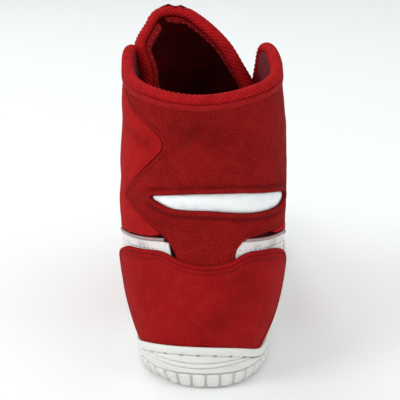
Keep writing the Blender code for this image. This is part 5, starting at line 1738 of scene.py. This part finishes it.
def make_looks():
    # Where a look is given a colour for the pieces' shade values, that colour is painted shade in grooves,
    # seams and edges.
    looks = {}
    looks["suede"] = suede("red_suede", (0.215, 0.0040, 0.0042), (0.26, 0.008, 0.008), (0.15, 0.0024, 0.0028),
                           (0.50, 0.09, 0.075), 0.32)
    looks["suede_heel"] = suede("red_suede_heel", (0.28, 0.0052, 0.0060), (0.33, 0.010, 0.010),
                                (0.215, 0.0035, 0.0042), (0.50, 0.09, 0.075), 0.2)
    # The quarters' and vamp's suede, with fewer specks than the back's. Its lighter red is painted light, for
    # sides that catch more light than the back.
    looks["suede_side"] = suede("red_suede_side", (0.325, 0.0065, 0.0068), (0.375, 0.012, 0.012),
                                (0.25, 0.0045, 0.005), (0.52, 0.08, 0.07), 0.15)

    look = Look("red_smooth_leather", (0.28, 0.006, 0.007), 0.55, Specular_IOR_Level=0.25)
    look.layer(look.ranged(look.noise(11.0, 3), 0.4, 0.65, 0, 0.5), (0.22, 0.006, 0.008))
    look.layer(
        look.ranged(look.noise(0.9, 2), 0.55, 0.7, 0, 0.3), (0.36, 0.03, 0.03)
    ).add_painted_shade((0.04, 0.0, 0.001))
    look.rough(5.0, 0.42, 0.6).raised(look.noise(0.6, 3), 1.0)
    looks["smooth_red"] = look.done(0.08)

    look = Look("ribbed_binding", (0.38, 0.006, 0.008), 0.85, Specular_IOR_Level=0.08)
    look.layer(look.ranged(look.noise(6.0, 3), 0.4, 0.65, 0, 0.5), (0.235, 0.0035, 0.005))
    look.layer(
        look.ranged(look.noise(0.5, 2), 0.55, 0.7, 0, 0.3), (0.42, 0.018, 0.018)
    ).add_painted_shade((0.04, 0.0005, 0.001))
    look.rough(2.0, 0.7, 0.92)
    look.raised(look.noise(0.3, 2, (0.5, 2.0, 1.0)), 1.0)
    looks["binding"] = look.done(0.14)

    look = Look("binding_tape", (0.29, 0.0055, 0.0065), 0.8, Specular_IOR_Level=0.1)
    look.layer(
        look.ranged(look.noise(5.0, 3), 0.4, 0.65, 0, 0.5), (0.21, 0.004, 0.005)
    ).add_painted_shade((0.03, 0.0, 0.001))
    look.rough(2.5, 0.65, 0.88)
    look.raised(look.threads(0.45, "X", 0.6), 0.6).raised(look.threads(0.45, "Y", 0.6), 0.6)
    looks["tape"] = look.done(0.08)

    look = Look("tongue_cloth", (0.19, 0.005, 0.006), 0.9, Specular_IOR_Level=0.1)
    look.layer(look.ranged(look.noise(9.0, 3), 0.4, 0.65, 0, 0.5), (0.14, 0.005, 0.007))
    look.layer(
        look.ranged(look.threads(0.9, "X", 0.4), 0.3, 0.8, 0, 0.3), (0.28, 0.02, 0.02)
    ).add_painted_shade((0.02, 0, 0))
    look.rough(3.0, 0.8, 0.95)
    look.raised(look.threads(0.9, "X", 0.5), 0.8).raised(look.threads(0.9, "Y", 0.5), 0.8)
    looks["tongue"] = look.done(0.14)

    # Nearly black: painted shade for the inside of the boot, laid over the tongue lining's own dark red.
    look = Look("tongue_lining", (0.022, 0.0006, 0.0010), 0.95, Specular_IOR_Level=0.03)
    look.layer(look.ranged(look.noise(12.0, 3), 0.4, 0.7, 0, 0.7), (0.045, 0.0008, 0.0016)).add_painted_shade((0, 0, 0))
    look.rough(3.0, 0.88, 0.98)
    look.raised(look.threads(0.7, "X", 0.5), 0.7).raised(look.threads(0.7, "Y", 0.5), 0.7)
    looks["tongue_lining"] = look.done(0.1)

    look = Look("lining_cloth", (0.20, 0.030, 0.037), 0.95, Specular_IOR_Level=0.05)
    look.layer(look.ranged(look.noise(10.0, 3), 0.4, 0.65, 0, 0.6), (0.15, 0.018, 0.023))
    look.layer(
        look.ranged(look.noise(0.8, 2), 0.56, 0.7, 0, 0.4), (0.27, 0.07, 0.08)
    ).add_painted_shade((0.02, 0.002, 0.003))
    look.rough(3.0, 0.85, 0.98)
    look.raised(look.threads(0.8, "X", 0.7), 0.7).raised(look.threads(0.8, "Y", 0.7), 0.7)
    looks["lining"] = look.done(0.12)

    look = Look("gloss_white", (0.80, 0.83, 0.83), 0.22, Coat_Weight=0.6, Coat_Roughness=0.12)
    look.layer(
        look.ranged(look.noise(9.0, 3), 0.42, 0.66, 0, 0.5), (0.70, 0.73, 0.74)
    ).add_painted_shade((0.2, 0.18, 0.18))
    look.rough(4.0, 0.16, 0.34).raised(look.noise(2.2, 3), 1.0)
    looks["gloss_white"] = look.done(0.12)

    look = Look("white_leather", (0.72, 0.68, 0.67), 0.48, Coat_Weight=0.1, Coat_Roughness=0.3)
    look.layer(
        look.ranged(look.noise(6.0, 3), 0.42, 0.66, 0, 0.5), (0.64, 0.59, 0.58)
    ).add_painted_shade((0.20, 0.16, 0.16))
    look.rough(3.0, 0.4, 0.6).raised(look.noise(0.7, 3), 1.0)
    looks["white_leather"] = look.done(0.08)

    look = Look("grey_piping", (0.36, 0.24, 0.24), 0.6)
    look.layer(look.ranged(look.noise(3.0, 3), 0.4, 0.65, 0, 0.6), (0.26, 0.17, 0.17)).add_painted_shade()
    look.rough(1.5, 0.5, 0.7).raised(look.threads(0.6, "X", 0.4), 1.0)
    looks["piping"] = look.done(0.08)

    for name, colour, dark in (
        ("thread", (0.16, 0.004, 0.006), (0.10, 0.002, 0.003)),
        ("grey_thread", (0.30, 0.27, 0.27), (0.20, 0.18, 0.18)),
        ("pale_thread", (0.42, 0.09, 0.10), (0.30, 0.04, 0.05)),
    ):
        look = Look(name, colour, 0.7)
        look.layer(look.ranged(look.noise(0.8, 2), 0.4, 0.65, 0, 0.6), dark)
        look.rough(0.8, 0.6, 0.8).raised(look.threads(0.35, "X", 0.2), 1.0)
        looks[name] = look.done(0.05)

    look = Look("white_rubber", (0.70, 0.70, 0.67), 0.5, Specular_IOR_Level=0.45)
    look.layer(look.ranged(look.noise(16.0, 4), 0.42, 0.68, 0, 0.45), (0.63, 0.62, 0.585))
    look.layer(
        look.ranged(look.noise(2.0, 4), 0.6, 0.75, 0, 0.3), (0.55, 0.535, 0.50)
    ).add_painted_shade((0.13, 0.12, 0.10))
    look.rough(5.0, 0.42, 0.62).raised(look.noise(0.5, 3), 1.0).raised(look.noise(4.0, 2), 0.8)
    looks["rubber"] = look.done(0.06)

    look = Look("sockliner_cloth", (0.030, 0.030, 0.034), 0.9)
    look.layer(look.ranged(look.noise(8.0, 3), 0.4, 0.65, 0, 0.6), (0.018, 0.018, 0.02)).add_painted_shade()
    look.rough(3.0, 0.8, 0.95)
    look.raised(look.threads(0.9, "X", 0.4), 0.7).raised(look.threads(0.9, "Y", 0.4), 0.7)
    looks["sockliner"] = look.done(0.12)

    look = Look("eyelet_metal", (0.62, 0.62, 0.64), 0.3, coordinates="object", Metallic=1.0)
    look.layer(look.ranged(look.noise(1.4, 3), 0.42, 0.66, 0, 0.5), (0.48, 0.48, 0.50))
    look.rough(0.9, 0.22, 0.42).raised(look.noise(0.5, 2), 1.0)
    looks["metal"] = look.done(0.02)

    for name, colour, dark, size in (
        ("cream_foam", (0.70, 0.65, 0.56), (0.58, 0.53, 0.45), 1.2),
        ("fibre_board", (0.48, 0.38, 0.27), (0.36, 0.28, 0.19), 2.0),
    ):
        look = Look(name, colour, 0.9, coordinates="object")
        look.layer(look.ranged(look.noise(size, 4), 0.42, 0.62, 0, 0.6), dark)
        look.layer(look.ranged(look.noise(0.4, 2), 0.55, 0.7, 0, 0.3), tuple(min(1, c * 1.2) for c in colour))
        look.rough(size, 0.82, 0.97).raised(look.noise(0.5, 3), 1.0)
        looks[name] = look.done(0.1)
    return looks


# ---------------------------------------------------------------- stage, light and camera

def build_stage():
    """A pale floor that sweeps up into a backdrop."""
    profile = [(-4.0, 0.0), (2.6, 0.0)]
    profile += [(2.6 + 1.2 * sin(a), 1.2 * (1 - cos(a))) for a in np.linspace(0.1, pi / 2, 16)]
    profile += [(3.8, 4.0)]
    points = [(x, y, z) for x in (-5.0, 5.0) for y, z in profile]
    count = len(profile)
    mesh = bpy.data.meshes.new("floor")
    mesh.from_pydata(points, [], [(k, k + count, k + count + 1, k + 1) for k in range(count - 1)])
    mesh.polygons.foreach_set("use_smooth", [True] * len(mesh.polygons))
    floor = bpy.data.objects.new("floor", mesh)
    bpy.context.scene.collection.objects.link(floor)
    material = bpy.data.materials.new("pale_floor")
    material.use_nodes = True
    shader = material.node_tree.nodes["Principled BSDF"]
    shader.inputs["Base Color"].default_value = (0.845, 0.855, 0.85, 1)
    shader.inputs["Roughness"].default_value = 0.6
    shader.inputs["Specular IOR Level"].default_value = 0.2
    mesh.materials.append(material)


def area_light(name, place, target, size, power, colour=(1, 1, 1)):
    light = bpy.data.lights.new(name, "AREA")
    light.shape = "DISK"
    light.size = size
    light.energy = power
    light.color = colour
    lamp = bpy.data.objects.new(name, light)
    lamp.location = place
    lamp.rotation_euler = (Vector(target) - Vector(place)).to_track_quat("-Z", "Y").to_euler()
    bpy.context.scene.collection.objects.link(lamp)


def build_light():
    world = bpy.data.worlds.new("studio")
    world.use_nodes = True
    background = world.node_tree.nodes["Background"]
    background.inputs["Color"].default_value = (0.97, 0.99, 1.0, 1)
    background.inputs["Strength"].default_value = 0.95
    bpy.context.scene.world = world
    area_light("key", (-1.2, -0.75, 0.95), (0, 0, 0.08), 0.9, 9.5)
    area_light("back", (-0.7, 1.0, 1.5), (0, 0, 0.05), 0.9, 5.0)
    area_light("fill", (0.9, -0.8, 1.0), (0, 0, 0.08), 0.9, 2.5)
    bpy.context.scene.view_settings.view_transform = "Standard"


def build_camera():
    data = bpy.data.cameras.new("camera")
    data.sensor_width = 36.0
    data.lens = 1056.0 / 400 * 36.0
    data.shift_x = -3.0 / 400
    data.clip_start = 0.01
    camera = bpy.data.objects.new("camera", data)
    camera.location = in_metres((27.2, -474.3, 245.0))
    yaw, pitch = radians(3.0), radians(16.9)
    forward = Vector((-sin(yaw) * cos(pitch), cos(yaw) * cos(pitch), -sin(pitch)))
    camera.rotation_euler = forward.to_track_quat("-Z", "Y").to_euler()
    bpy.context.scene.collection.objects.link(camera)
    bpy.context.scene.camera = camera


def build_boot():
    looks = make_looks()
    zigzag, lateral_seam = build_back(looks)
    build_skins(looks, zigzag, lateral_seam)
    build_straps(looks)
    build_heel(looks)
    build_bindings(looks)
    build_lining(looks)
    build_vamp(looks)
    build_tongue(looks)
    build_outsole(looks)
    build_sockliner(looks)
    for node, look in (
        ("midsole_rear", "cream_foam"), ("midsole_fore", "cream_foam"), ("collar_padding", "cream_foam"),
        ("insole_board_rear", "fibre_board"), ("insole_board_fore", "fibre_board"),
        ("heel_counter", "fibre_board"), ("toe_puff", "fibre_board"),
    ):
        solid = frame["nodes"][node]
        solid.data.materials.clear()
        solid.data.materials.append(looks[look])


build_camera()
build_light()
build_stage()
build_boot()
